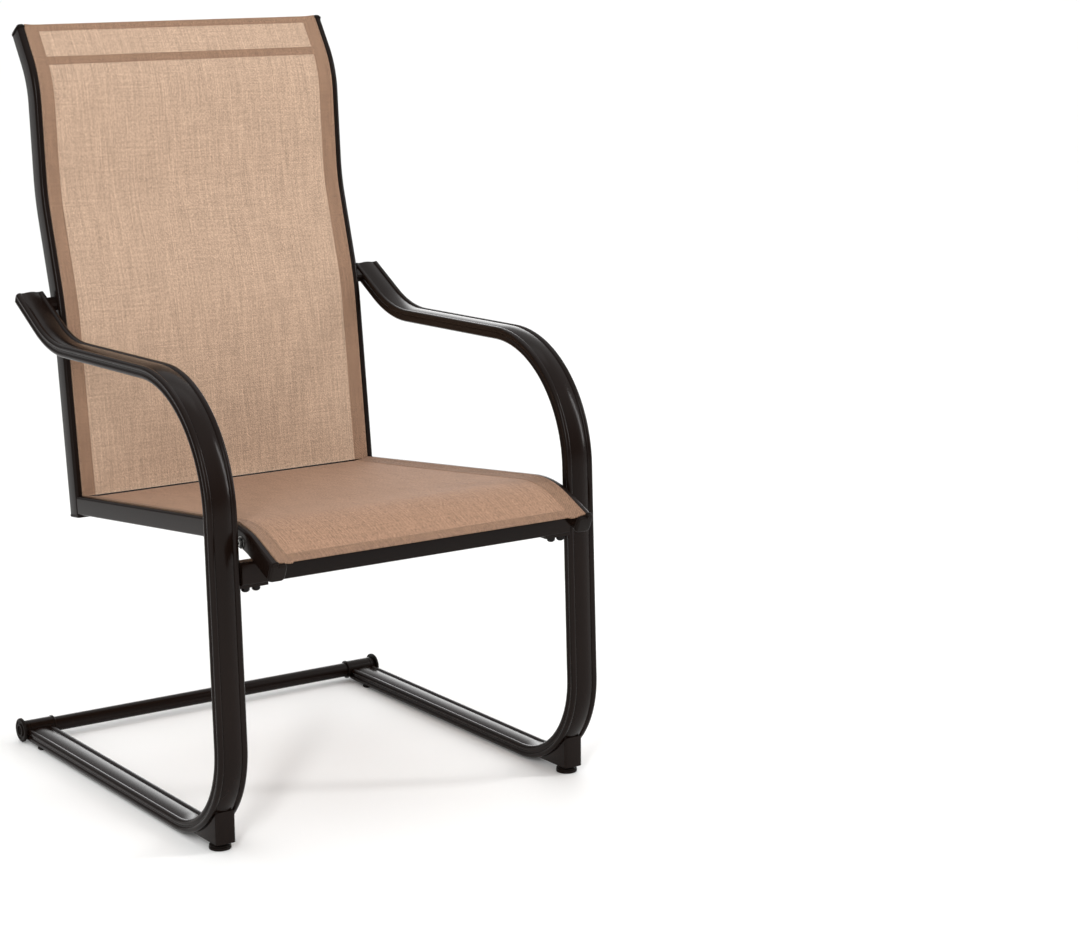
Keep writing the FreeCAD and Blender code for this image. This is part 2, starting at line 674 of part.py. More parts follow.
def rail_cap(name, end, flipped=False):
    """Adds a cap with its stem; the end's angle turns +Z to point out of the rail."""
    low, high = f"(-{RAIL_BACK} - cap_overhang)", "(channel_depth + cap_overhang)"
    if flipped:
        low, high = "(-channel_depth - cap_overhang)", f"({RAIL_BACK} + cap_overhang)"
    face = chamfered_box("(-cap_overhang)", "(rail_width + cap_overhang)", low, high, "rail_corner")
    head = padded(name + "_head", face, "cap_thick")
    doc.recompute()
    pad = head.Tip
    heights = [face.CenterOfMass.z for face in pad.Shape.Faces]
    outer = heights.index(max(heights)) + 1
    rim = head.newObject("PartDesign::Chamfer", name + "_rim")
    rim.Base = (pad, [f"Face{outer}"])
    bind(rim, Size="cap_thick / 3")
    place(head, z="0.1")
    stem = rail_stem(name + "_stem", "hole_gap", "stem_length + 1", "-stem_length", flipped)
    return place(fuse(name, head, stem), RAIL_X, *end)


def rail_pocket(name, end, flipped=False):
    """Adds the pocket tool for the stem of a rail cap."""
    pocket = doc.addObject("Part::Compound", name)
    pocket.Links = [rail_stem(name + "_core", "0", "2 * stem_length", "-stem_length - hole_gap", flipped)]
    return place(pocket, RAIL_X, *end)


# back rails, hung on the arm ends by lugs

lug_hole = peg("lug_hole", HOLE, "lug_bite + 2 * rail_width")
across(lug_hole, f"{RAIL_X} - lug_bite - hole_gap", LUG_Y, LUG_Z)
LUG_REACH = "(rail_clearance + tube_width / 8)"
lug_side = chamfered_box("-lug_half_width", "lug_half_width", "-lug_half_height", "lug_half_height", "lug_chamfer")
lug_blank = padded("lug_blank", lug_side, LUG_REACH, "YZ_Plane")
place(lug_blank, f"{RAIL_X} - {LUG_REACH}", LUG_Y, LUG_Z, "arm_end_angle")
deliver_pair(cut("left_arm_lug", lug_blank, c_tube, lug_hole), "arm_lug")

back_blank = along_back("back_blank", RAIL_SECTION, "back_foot_z")
place(back_blank, RAIL_X)
top_pocket = rail_pocket("top_pocket", TOP_END, flipped=True)
foot_pocket = rail_pocket("foot_pocket", FOOT_END)
deliver_pair(cut("left_back_rail", back_blank, top_pocket, foot_pocket, lug_hole), "back_rail")
deliver_pair(rail_cap("left_back_top_cap", TOP_END, flipped=True), "back_top_cap")
deliver_pair(rail_cap("left_back_bottom_plug", FOOT_END), "back_bottom_plug")

lug_bolt = bolt("lug_bolt", "(rail_width + lug_bite)", nut=False)
group("arm_lug_bolts", [across(lug_bolt, f"{RAIL_X} + rail_width", LUG_Y, LUG_Z, -90)])

# seat rails, cut square against the back rails and bolted to ears on the crossbar

back_plane = block("back_plane", "rail_width * 3", "rail_depth * 3", "rail_depth * 6")
BACK_FACE_Y = f"(back_foot_y - channel_depth * cos({BACK_LEAN}) - rail_depth * sin({BACK_LEAN}))"
BACK_FACE_Z = f"(back_foot_z + channel_depth * sin({BACK_LEAN}) - rail_depth * cos({BACK_LEAN}))"
place(back_plane, f"{RAIL_X} - rail_width", BACK_FACE_Y, BACK_FACE_Z, f"-{BACK_LEAN}")
EAR_Y = f"({CROSSBAR_Y} + ear_setback)"
EAR_BOLT_Z = f"({CROSSBAR_TOP} + ear_bolt_rise)"
FAR_LEFT = "-frame_half_span - tube_width"
ear_hole = across(peg("ear_hole", HOLE, "frame_half_span"), FAR_LEFT, EAR_Y, EAR_BOLT_Z)
seat_blank = along_seat("seat_blank", RAIL_SECTION, "back_foot_y + rail_depth")
place(seat_blank, RAIL_X)
front_pocket = rail_pocket("front_pocket", FRONT_END)
deliver_pair(cut("left_seat_rail", seat_blank, back_plane, front_pocket, ear_hole), "seat_rail")
deliver_pair(rail_cap("left_seat_rail_cap", FRONT_END), "seat_rail_cap")

EAR_X = f"({RAIL_OUTER} - rail_width)"
ear_blank = block("ear_blank", "ear_thick", "ear_width", "ear_height")
place(ear_blank, f"-{EAR_X}", f"{EAR_Y} - ear_width / 2", CROSSBAR_TOP)
deliver_pair(cut("left_seat_ear", ear_blank, ear_hole), "seat_ear")
ear_bolt = bolt("ear_bolt", "(rail_width + ear_thick)", "wide_head_radius")
group("seat_rail_bolts", [across(ear_bolt, RAIL_X, EAR_Y, EAR_BOLT_Z)])

# spreader bars between the back rails


def spreader(name, radius, y, z, lean):
    """Adds a bar between the inner faces of the back rails, set back from the sling."""
    setback = (f"{y} + spreader_setback * cos({lean})", f"{z} - spreader_setback * sin({lean})")
    deliver(across(rod(name, radius, f"2 * {EAR_X}"), f"-{EAR_X}", *setback), name)


LOWER_Y = f"(back_foot_y + (lower_spreader_z - back_foot_z) * tan({BACK_LEAN}))"
UPPER_Y = f"({NECK[0]} + upper_spreader_rise * tan({CROWN_LEAN}))"
spreader("lower_spreader", "lower_spreader_radius", LOWER_Y, "lower_spreader_z", BACK_LEAN)
spreader("upper_spreader", "upper_spreader_radius", UPPER_Y, f"({NECK[1]} + upper_spreader_rise)", CROWN_LEAN)

# slings with their edges in the rail slots, and the rods that hold them there

SLING_HALF = f"({RAIL_OUTER} - channel_inset - spline_half - sling_gap)"
SLING_SECTION = [
    (f"-{SLING_HALF}", "-sling_thick / 2"),
    (SLING_HALF, "-sling_thick / 2"),
    (SLING_HALF, "sling_thick / 2"),
    (f"-{SLING_HALF}", "sling_thick / 2"),
]
SPLINE_SECTION = [
    ("-spline_half", "-spline_half"),
    ("spline_half", "-spline_half"),
    ("spline_half", "spline_half"),
    ("-spline_half", "spline_half"),
]
deliver(along_seat("seat_sling", SLING_SECTION, "seat_sling_rear_y", "sling_gap"), "seat_sling")
deliver(along_back("back_sling", SLING_SECTION, "back_sling_low_z", "sling_gap"), "back_sling")
SPLINE_X = f"channel_inset - {RAIL_OUTER}"
seat_spline = along_seat("left_seat_spline", SPLINE_SECTION, "seat_sling_rear_y - 2", "sling_gap")
deliver_pair(place(seat_spline, SPLINE_X), "seat_spline")
back_spline = along_back("left_back_spline", SPLINE_SECTION, "back_sling_low_z", "sling_gap")
deliver_pair(place(back_spline, SPLINE_X), "back_spline")

doc.recompute()
for item in doc.Objects:
    if "Invalid" in item.State or "Error" in item.State:
        raise RuntimeError(f"{item.Name} ({item.Label}) is in state {item.State}")
for item in nodes:
    if item.Shape.isNull() or not item.Shape.isValid() or not item.Shape.Solids:
        raise RuntimeError(f"{item.Label} has no valid solid")
    item.Shape.exportStep(f"parts/{item.Label}.step")
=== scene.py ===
"""Patio dining armchair: the dressed model over its frame of solids.

Two C-shaped spring tubes carry a seat and a back of woven mesh, stretched between bent rails.
Lengths are millimetres until a mesh is made. X runs across the chair, -Y is its front and Z is up.
"""

import logging
import math
from collections.abc import Sequence
from dataclasses import dataclass
from enum import Enum

import bmesh
import bpy
import numpy as np
from mathutils import Matrix, Vector

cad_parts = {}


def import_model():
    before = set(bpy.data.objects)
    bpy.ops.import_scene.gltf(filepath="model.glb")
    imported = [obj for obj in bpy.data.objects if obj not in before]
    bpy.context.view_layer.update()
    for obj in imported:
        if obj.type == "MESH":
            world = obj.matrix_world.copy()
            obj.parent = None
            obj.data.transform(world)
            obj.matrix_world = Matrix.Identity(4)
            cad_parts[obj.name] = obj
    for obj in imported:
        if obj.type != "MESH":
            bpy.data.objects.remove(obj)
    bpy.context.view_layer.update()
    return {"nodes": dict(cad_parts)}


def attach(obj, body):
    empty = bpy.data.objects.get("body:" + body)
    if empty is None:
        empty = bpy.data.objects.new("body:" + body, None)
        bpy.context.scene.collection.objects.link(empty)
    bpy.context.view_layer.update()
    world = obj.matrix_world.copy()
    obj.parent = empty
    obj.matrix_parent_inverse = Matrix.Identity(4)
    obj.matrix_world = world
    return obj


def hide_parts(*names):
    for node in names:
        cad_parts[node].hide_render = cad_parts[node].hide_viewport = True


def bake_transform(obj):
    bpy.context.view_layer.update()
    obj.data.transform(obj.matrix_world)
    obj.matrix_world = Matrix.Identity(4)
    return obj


MM = 0.001
MERGE_DISTANCE = 0.002
UV_NAME = "weave"
HEM_NAME = "hem"
# a Mix node has several sockets of one name, so they go by number: inputs, then results
FACTOR, NUMBER_A, NUMBER_B, DARK, LIGHT = 0, 2, 3, 6, 7
MIXED_NUMBER, MIXED = 0, 2
log = logging.getLogger("armchair")

Faces = list[list[int]]
Shell = tuple[np.ndarray, Faces]
Outline = Sequence[Sequence[float]]
Place = tuple[float, float, float]
Material = bpy.types.Material
Piece = bpy.types.Object
Tree = bpy.types.NodeTree
Socket = bpy.types.NodeSocket


class Side(Enum):
    """The two sides of the chair, with the sign of X on each."""

    LEFT = -1
    RIGHT = 1

    @property
    def word(self) -> str:
        """Returns the side's name as it stands in piece names."""
        return self.name.lower()


def both_sides(*names: str) -> list[str]:
    """Returns names with each side's word before them, the left side's first."""
    return [f"{side.word}_{name}" for side in Side for name in names]


class Body(Enum):
    """The rigid bodies that pieces ride on."""

    FLOOR = "floor_frame"
    SEAT = "seat_frame"
    LEFT_FOOT = "left_foot"
    RIGHT_FOOT = "right_foot"


class Slot(Enum):
    """The material slots of the part's record."""

    COAT = "coated_steel"
    PLASTIC = "black_plastic"
    ZINC = "zinc_steel"
    MESH = "sling_mesh"


class Axis(Enum):
    """The axes that turned pieces stand on."""

    X = 0
    Z = 2


class Facing(Enum):
    """Which way the front of a section stands on its line: along the line's normals or against them."""

    ALONG = 1
    AGAINST = -1


# shader helpers


def srgb(colour: str) -> tuple[float, float, float, float]:
    """Turns an sRGB hex colour into linear RGBA.

    Args:
        colour: six hex digits after a hash sign.

    Returns:
        Linear red, green, blue and full alpha.
    """
    channels = np.array([int(colour[start:start + 2], 16) for start in (1, 3, 5)]) / 255
    linear = np.where(channels <= 0.04045, channels / 12.92, ((channels + 0.055) / 1.055) ** 2.4)
    return (*linear.tolist(), 1.0)


def per_metre(size: float) -> float:
    """Returns how often a feature of a size in millimetres fits into a metre."""
    return 1 / (size * MM)


def add_node(tree: Tree, kind: str, inputs: dict | None = None, **settings: object) -> bpy.types.Node:
    """Adds one shader node.

    Args:
        tree: the node tree of a material or world.
        kind: the node's type, after the words that all shader nodes begin with.
        inputs: what its inputs get, by name or number: a socket is linked, anything else is a value.
        settings: the node's own properties.

    Returns:
        The new node.
    """
    node = tree.nodes.new(f"ShaderNode{kind}")
    for key, setting in settings.items():
        setattr(node, key, setting)
    for key, given in (inputs or {}).items():
        if isinstance(given, Socket):
            tree.links.new(given, node.inputs[key])
        else:
            node.inputs[key].default_value = given
    return node


def new_material(name: str) -> tuple[Material, Tree]:
    """Starts a material.

    Args:
        name: the material's name.

    Returns:
        The material and its empty node tree.
    """
    material = bpy.data.materials.new(name)
    material.use_nodes = True
    material.node_tree.nodes.clear()
    return material, material.node_tree


# finishes


@dataclass(frozen=True)
class GrainedFinish:
    """A hard finish with a slow drift of tone and a fine grain.

    The grain is noise on object coordinates; it tilts the surface and shifts its roughness a little.
    """

    name: str
    deep: str
    pale: str
    roughness: float
    roughness_swing: float
    grain: float
    grain_height: float
    tone_patch: float
    specular: float = 0.5
    metallic: float = 0.0
    grain_detail: float = 2.0
    patch_detail: float = 3.0
    bump_strength: float = 0.4

    def material(self) -> Material:
        """Mixes the finish.

        Returns:
            The finish as a material.
        """
        material, tree = new_material(self.name)
        place = add_node(tree, "TexCoord").outputs["Object"]
        patches = {"Vector": place, "Scale": per_metre(self.tone_patch), "Detail": self.patch_detail}
        drift = add_node(tree, "TexNoise", patches).outputs["Fac"]
        tones = {FACTOR: drift, DARK: srgb(self.deep), LIGHT: srgb(self.pale)}
        tone = add_node(tree, "Mix", tones, data_type="RGBA")
        grains = {"Vector": place, "Scale": per_metre(self.grain), "Detail": self.grain_detail}
        grain = add_node(tree, "TexNoise", grains).outputs["Fac"]
        low, high = self.roughness - self.roughness_swing, self.roughness + self.roughness_swing
        gloss = add_node(tree, "MapRange", {"Value": grain, "To Min": low, "To Max": high})
        relief = {"Height": grain, "Strength": self.bump_strength, "Distance": self.grain_height * MM}
        bump = add_node(tree, "Bump", relief)
        shader = add_node(
            tree,
            "BsdfPrincipled",
            {
                "Base Color": tone.outputs[MIXED],
                "Roughness": gloss.outputs["Result"],
                "Normal": bump.outputs["Normal"],
                "Metallic": self.metallic,
                "Specular IOR Level": self.specular,
            },
        )
        add_node(tree, "OutputMaterial", {"Surface": shader.outputs["BSDF"]})
        return material


@dataclass(frozen=True)
class Streak:
    """Ticks or lines in a weave: their size across and along the cloth, and their share in its tone."""

    width: float
    length: float
    share: float


@dataclass(frozen=True)
class WovenMesh:
    """Coated polyester mesh, read from the sling's own map in metres.

    Warp and weft are two sine waves whose product lightens the yarn crossings and darkens the gaps. Noise
    stretched along and across the yarns makes short ticks and long thin lines; it is sheared, so that the
    ends of the lines don't line up. The hem attribute turns to the doubled cloth, which has a slanting hatch
    too; its darker tone is painted shade, for the light that two layers keep from coming through.
    """

    name: str
    yarn: str
    gap: str
    hem_yarn: str
    hem_gap: str
    streaks: tuple[Streak, ...]
    pitch: float = 2.6
    crossing_share: float = 0.3
    middle: float = 0.5
    shear: float = 0.37
    streak_detail: float = 2.0
    hatch: float = 4.0
    hatch_share: float = 0.12
    relief: float = 0.3
    relief_strength: float = 0.35
    roughness: float = 0.75
    specular: float = 0.2
    sheen: float = 0.04
    sheen_roughness: float = 0.5

    def wave(self, tree: Tree, along: Socket, pitch: float) -> Socket:
        """Returns the sine of a coordinate, with a period in millimetres."""
        phase = add_node(tree, "Math", {0: along, 1: math.tau * per_metre(pitch)}, operation="MULTIPLY")
        return add_node(tree, "Math", {0: phase.outputs[0]}, operation="SINE").outputs[0]

    def ticks(self, tree: Tree, spot: Socket, streak: Streak) -> Socket:
        """Stretches noise to the size of a streak.

        Each cell of the noise is shifted along its longer side by a share of its place across.

        Args:
            tree: the material's node tree.
            spot: the cloth's map.
            streak: the size.

        Returns:
            The noise, about zero.
        """
        scale = (per_metre(streak.width), per_metre(streak.length), 1.0)
        stretched = add_node(tree, "Mapping", {"Vector": spot, "Scale": scale}).outputs["Vector"]
        cells = add_node(tree, "SeparateXYZ", {0: stretched}).outputs
        thin, long = ("X", "Y") if streak.length > streak.width else ("Y", "X")
        sheared = {0: cells[thin], 1: self.shear, 2: cells[long]}
        shifted = add_node(tree, "Math", sheared, operation="MULTIPLY_ADD").outputs[0]
        place = add_node(tree, "CombineXYZ", {thin: cells[thin], long: shifted}).outputs["Vector"]
        noise = add_node(tree, "TexNoise", {"Vector": place, "Scale": 1.0, "Detail": self.streak_detail})
        centred = {0: noise.outputs["Fac"], 1: self.middle}
        return add_node(tree, "Math", centred, operation="SUBTRACT").outputs[0]

    def material(self) -> Material:
        """Weaves the cloth: each tone is the middle one plus the shares of crossings, streaks and hatch.

        Returns:
            The cloth as a material.
        """
        material, tree = new_material(self.name)
        spot = add_node(tree, "UVMap", uv_map=UV_NAME).outputs["UV"]
        parts = add_node(tree, "SeparateXYZ", {0: spot}).outputs
        warp, weft = (self.wave(tree, parts[axis], self.pitch) for axis in "XY")
        crossing = add_node(tree, "Math", {0: warp, 1: weft}, operation="MULTIPLY").outputs[0]
        slant = add_node(tree, "Math", {0: parts["X"], 1: parts["Y"]}, operation="ADD").outputs[0]
        shares = [(crossing, self.crossing_share)]
        shares += [(self.ticks(tree, spot, streak), streak.share) for streak in self.streaks]
        shares.append((self.wave(tree, slant, self.hatch), self.hatch_share))
        sums = [self.middle]
        for pattern, share in shares:
            added = {0: pattern, 1: share, 2: sums[-1]}
            sums.append(add_node(tree, "Math", added, operation="MULTIPLY_ADD").outputs[0])
        woven, hatched = sums[-2:]
        single = {FACTOR: woven, DARK: srgb(self.gap), LIGHT: srgb(self.yarn)}
        # hems and bands are doubled cloth: their darker tones are painted shade, for the light that two
        # layers keep from coming through
        doubled = {FACTOR: hatched, DARK: srgb(self.hem_gap), LIGHT: srgb(self.hem_yarn)}
        hem = add_node(tree, "Attribute", attribute_name=HEM_NAME).outputs["Fac"]
        layers = {
            FACTOR: hem,
            DARK: add_node(tree, "Mix", single, data_type="RGBA").outputs[MIXED],
            LIGHT: add_node(tree, "Mix", doubled, data_type="RGBA").outputs[MIXED],
        }
        cloth = add_node(tree, "Mix", layers, data_type="RGBA")
        yarns = {"Height": crossing, "Strength": self.relief_strength, "Distance": self.relief * MM}
        bump = add_node(tree, "Bump", yarns)
        shader = add_node(
            tree,
            "BsdfPrincipled",
            {
                "Base Color": cloth.outputs[MIXED],
                "Normal": bump.outputs["Normal"],
                "Roughness": self.roughness,
                "Specular IOR Level": self.specular,
                "Sheen Weight": self.sheen,
                "Sheen Roughness": self.sheen_roughness,
            },
        )
        add_node(tree, "OutputMaterial", {"Surface": shader.outputs["BSDF"]})
        return material


# powder-coated steel tube: dark brown-black, with soft bright reflections and a faint orange peel;
# the peel is finer than a pixel on the real tube, so it is drawn at 4 mm
POWDER_COAT = GrainedFinish(
    name="powder_coated_steel",
    deep="#110a07",
    pale="#180f0b",
    roughness=0.22,
    roughness_swing=0.04,
    grain=4.0,
    grain_height=0.01,
    tone_patch=160.0,
    specular=0.11,
)
# injection-moulded polypropylene: black with a dull, slightly stippled skin
MOULDED_BLACK = GrainedFinish(
    name="moulded_polypropylene",
    deep="#110c09",
    pale="#18110e",
    roughness=0.4,
    roughness_swing=0.06,
    grain=1.6,
    grain_height=0.04,
    tone_patch=60.0,
    specular=0.08,
)
# zinc-plated steel: grey and bright, with rolled blotches
ZINC_PLATE = GrainedFinish(
    name="zinc_plated_steel",
    deep="#8d8c89",
    pale="#b4b3af",
    roughness=0.28,
    roughness_swing=0.08,
    grain=1.2,
    grain_height=0.03,
    tone_patch=9.0,
    metallic=1.0,
)
# blackened steel bolt heads: near-black with a hard glint
BLACK_BOLT = GrainedFinish(
    name="blackened_steel",
    deep="#0e0b0a",
    pale="#151110",
    roughness=0.26,
    roughness_swing=0.05,
    grain=1.2,
    grain_height=0.02,
    tone_patch=9.0,
    specular=0.12,
)
# bonded polyester thread of the seams: a tone under the cloth
THREAD = GrainedFinish(
    name="polyester_thread",
    deep="#7d604c",
    pale="#93745d",
    roughness=0.6,
    roughness_swing=0.05,
    grain=0.8,
    grain_height=0.05,
    tone_patch=12.0,
)
# coated polyester mesh of the back, the same cloth as the seat: its yarn and gap are painted paler, as
# painted light for the light that comes through it from behind;
# the real yarns are about 1 mm apart, drawn at 2.6 mm so that the weave shows
BACK_MESH_PAINTED_BACKLIGHT = WovenMesh(
    name="polyester_mesh_back",
    yarn="#dcbba0",
    gap="#776556",
    # hem tones painted darker, as shade where two layers let no light through
    hem_yarn="#ac886e",
    hem_gap="#5f4b3d",
    streaks=(Streak(1.15, 3.2, 1.2), Streak(3.2, 1.15, 1.0), Streak(1.3, 70.0, 0.9), Streak(60.0, 1.3, 0.6)),
)
# the same mesh on the seat, painted darker and browner as shade, because no light comes through it from
# below; its ticks run from front to rear
SEAT_MESH_PAINTED_SHADE = WovenMesh(
    name="polyester_mesh_seat_painted_shade",
    yarn="#b79075",
    gap="#6e5644",
    # hem tones painted darker, as shade where two layers let no light through
    hem_yarn="#a07e66",
    hem_gap="#5f4939",
    streaks=(Streak(1.2, 6.0, 1.2), Streak(3.2, 1.6, 0.9), Streak(1.3, 60.0, 1.0), Streak(60.0, 1.6, 0.5)),
)


# mesh helpers


def make_piece(
    name: str,
    shells: list[Shell],
    material: Material,
    sharp: float = 32.0,
    cloth_map: np.ndarray | None = None,
    hem: np.ndarray | None = None,
) -> Piece:
    """Makes one object from closed shells, at the origin and with its faces outwards.

    Args:
        name: the piece's name.
        shells: points in millimetres and faces of each closed shell.
        material: the piece's finish.
        sharp: angle in degrees from which an edge stays sharp.
        cloth_map: map in metres of every point, for cloth.
        hem: hem share of every point, for cloth.

    Returns:
        The object, linked to the scene.
    """
    points, faces, start = [], [], 0
    for shell_points, shell_faces in shells:
        flat = shell_points.reshape(-1, 3)
        points.append(flat * MM)
        faces += [[start + corner for corner in face] for face in shell_faces]
        start += len(flat)
    mesh = bpy.data.meshes.new(name)
    mesh.from_pydata(np.concatenate(points).tolist(), [], faces)
    if cloth_map is not None:
        corners = np.empty(len(mesh.loops), np.int32)
        mesh.loops.foreach_get("vertex_index", corners)
        layer = mesh.uv_layers.new(name=UV_NAME)
        layer.data.foreach_set("uv", cloth_map[corners].astype(np.float32).ravel())
    if hem is not None:
        layer = mesh.attributes.new(HEM_NAME, "FLOAT", "POINT")
        layer.data.foreach_set("value", hem.astype(np.float32).ravel())
    shape = bmesh.new()
    shape.from_mesh(mesh)
    bmesh.ops.remove_doubles(shape, verts=shape.verts, dist=MERGE_DISTANCE * MM)
    bmesh.ops.recalc_face_normals(shape, faces=shape.faces)
    shape.to_mesh(mesh)
    shape.free()
    mesh.shade_smooth()
    mesh.set_sharp_from_angle(angle=math.radians(sharp))
    mesh.materials.append(material)
    piece = bpy.data.objects.new(name, mesh)
    bpy.context.scene.collection.objects.link(piece)
    return piece


def settle(piece: Piece, body: Body, slot: Slot, *nodes: str) -> None:
    """Puts a piece on its body in place of frame nodes.

    Args:
        piece: the finished piece.
        body: what it rides on.
        slot: its material slot in the record; not used.
        nodes: frame nodes that it stands for.
    """
    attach(piece, body.value)
    if nodes:
        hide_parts(*nodes)
    log.info("%s rides on %s", piece.name, body.value)


def grid_faces(rows: int, columns: int, closed: bool) -> Faces:
    """Returns the four-cornered faces of a grid.

    Args:
        rows: points one way.
        columns: points the other way.
        closed: whether the last column joins the first.

    Returns:
        The faces, row by row.
    """
    row, column = np.meshgrid(
        np.arange(rows - 1), np.arange(columns if closed else columns - 1), indexing="ij"
    )
    following = (column + 1) % columns
    corners = [
        row * columns + column,
        row * columns + following,
        (row + 1) * columns + following,
        (row + 1) * columns + column,
    ]
    return np.stack(corners, axis=-1).reshape(-1, 4).tolist()


def capped(points: np.ndarray) -> Shell:
    """Closes a tube of rows of ring points with one face at each end.

    Args:
        points: rows by ring points by three.

    Returns:
        The closed shell.
    """
    rows, ring = points.shape[:2]
    ends = [list(range(ring)), list(range((rows - 1) * ring, rows * ring))]
    return points, grid_faces(rows, ring, True) + ends


def lathe(outline: Outline, centre: Place, axis: Axis, segments: int) -> Shell:
    """Turns an outline into a closed solid.

    Radius r at height h becomes (r cos a, r sin a, h) for all angles a round the axis.

    Args:
        outline: radius and height from pole to pole.
        centre: where radius and height are zero.
        axis: the axis of turning.
        segments: steps round the axis.

    Returns:
        The shell; poles close when doubles are merged.
    """
    radius, height = np.array(outline).T
    angle = np.linspace(0, math.tau, segments, endpoint=False)
    round_a = radius[:, None] * np.cos(angle)
    round_b = radius[:, None] * np.sin(angle)
    along = np.broadcast_to(height[:, None], round_a.shape)
    order = (round_a, round_b, along) if axis is Axis.Z else (along, round_a, round_b)
    points = np.stack(order, axis=-1) + np.array(centre)
    return points, grid_faces(len(radius), segments, True)


def turned_pair(outline: Outline, start: float, y: float, z: float, segments: int) -> list[Shell]:
    """Turns an outline about an axis across the chair, once on each side.

    Args:
        outline: radius, and distance outwards from the start.
        start: where the outline begins, from the middle of the chair.
        y: the axis's place from front to rear.
        z: the axis's height.
        segments: steps round the axis.

    Returns:
        The left and the right solid.
    """
    sides = [[(radius, side.value * (start + out)) for radius, out in outline] for side in Side]
    return [lathe(placed, (0.0, y, z), Axis.X, segments) for placed in sides]


def arc(centre: tuple[float, float], radius: float, start: float, end: float, steps: int) -> np.ndarray:
    """Returns points on an arc: its centre plus radius (cos a, sin a), for angles a in degrees."""
    turn = np.radians(np.linspace(start, end, steps))
    return np.array(centre) + radius * np.stack([np.cos(turn), np.sin(turn)], axis=-1)


def rounded_box(width: float, height: float, radius: float, steps: int = 5) -> np.ndarray:
    """Returns the outline of a rectangle with quarter-circle corners, centred on zero.

    The first corner is an arc, and the others are that arc mirrored.

    Args:
        width: size along the first axis.
        height: size along the second axis.
        radius: corner radius.
        steps: points on each corner.

    Returns:
        Points round the outline.
    """
    first = arc((width / 2 - radius, height / 2 - radius), radius, 0, 90, steps)
    return np.concatenate([first, first[::-1] * [-1, 1], -first, first[::-1] * [1, -1]])


@dataclass(frozen=True)
class Stations:
    """Points along a line in the side plane, with directions and distance from the start."""

    points: np.ndarray
    tangents: np.ndarray
    distance: np.ndarray

    @property
    def normals(self) -> np.ndarray:
        """Returns the directions turned a quarter turn to the left."""
        return np.stack([-self.tangents[:, 1], self.tangents[:, 0]], axis=-1)

    def past_end(self, out: float) -> "Stations":
        """Returns the last station alone, moved on along its direction."""
        moved = self.points[-1:] + out * self.tangents[-1:]
        return Stations(moved, self.tangents[-1:], self.distance[-1:])


@dataclass(frozen=True)
class BentLine:
    """A line in the side plane: straight runs through corners, with tangent arcs at the bends."""

    corners: tuple[tuple[float, float], ...]
    radii: tuple[float, ...]
    run_step: float = 30.0
    turn_step: float = 3.0

    def stations(self) -> Stations:
        """Samples the line run by run and bend by bend.

        A bend's arc touches both runs: it begins at radius / tan(half the corner's angle) from the corner.

        Returns:
            The line's stations.
        """
        corners = np.array(self.corners)
        pieces = []
        start = corners[0]
        for index, radius in enumerate(self.radii, start=1):
            back = corners[index - 1] - corners[index]
            ahead = corners[index + 1] - corners[index]
            back = back / np.linalg.norm(back)
            ahead = ahead / np.linalg.norm(ahead)
            half = math.acos(float(np.clip(back @ ahead, -1, 1))) / 2
            entry = corners[index] + back * radius / math.tan(half)
            middle = (back + ahead) / np.linalg.norm(back + ahead)
            centre = corners[index] + middle * radius / math.sin(half)
            side = math.copysign(1.0, float(ahead[0] * back[1] - ahead[1] * back[0]))
            pieces.append(self.run(start, entry, False))
            pieces.append(self.bend(entry, centre, -back, side * (math.pi - 2 * half)))
            start = corners[index] + ahead * radius / math.tan(half)
        pieces.append(self.run(start, corners[-1], True))
        points, tangents = (np.concatenate(rows) for rows in zip(*pieces))
        steps = np.linalg.norm(np.diff(points, axis=0), axis=1)
        return Stations(points, tangents, np.concatenate([[0.0], np.cumsum(steps)]))

    def run(self, start: np.ndarray, end: np.ndarray, last: bool) -> tuple[np.ndarray, np.ndarray]:
        """Divides a straight run evenly.

        Args:
            start: its first point.
            end: the point that it runs to.
            last: whether that point belongs to it.

        Returns:
            Its points and directions.
        """
        length = float(np.linalg.norm(end - start))
        count = max(2, math.ceil(length / self.run_step) + 1)
        share = np.linspace(0, 1, count, endpoint=last)
        return start + share[:, None] * (end - start), np.broadcast_to((end - start) / length, (count, 2))

    def bend(
        self, entry: np.ndarray, centre: np.ndarray, heading: np.ndarray, sweep: float
    ) -> tuple[np.ndarray, np.ndarray]:
        """Turns the first spoke of an arc about its centre through equal angles.

        Args:
            entry: where the arc begins.
            centre: its centre.
            heading: the line's direction at the entry.
            sweep: the whole angle in radians, positive to the left.

        Returns:
            Its points and directions, without the end.
        """
        count = max(2, math.ceil(math.degrees(abs(sweep)) / self.turn_step))
        angle = np.linspace(0, sweep, count, endpoint=False)
        turn = np.stack([np.cos(angle), -np.sin(angle), np.sin(angle), np.cos(angle)], axis=-1)
        turn = turn.reshape(-1, 2, 2)
        return centre + turn @ (entry - centre), turn @ heading


def carry(profile: np.ndarray, stations: Stations, facing: Facing) -> np.ndarray:
    """Carries a profile along a line.

    Point (i, j) is station i plus v of profile point j along the normal, at X = u of that profile point.

    Args:
        profile: u across the chair and v off the line.
        stations: the sampled line.
        facing: which way v goes.

    Returns:
        Stations by profile points by three.
    """
    off = facing.value * profile[None, :, 1:2] * stations.normals[:, None, :]
    side = stations.points[:, None, :] + off
    across = np.broadcast_to(profile[None, :, 0:1], (*side.shape[:2], 1))
    return np.concatenate([across, side], axis=2)


# shared lines of the chair

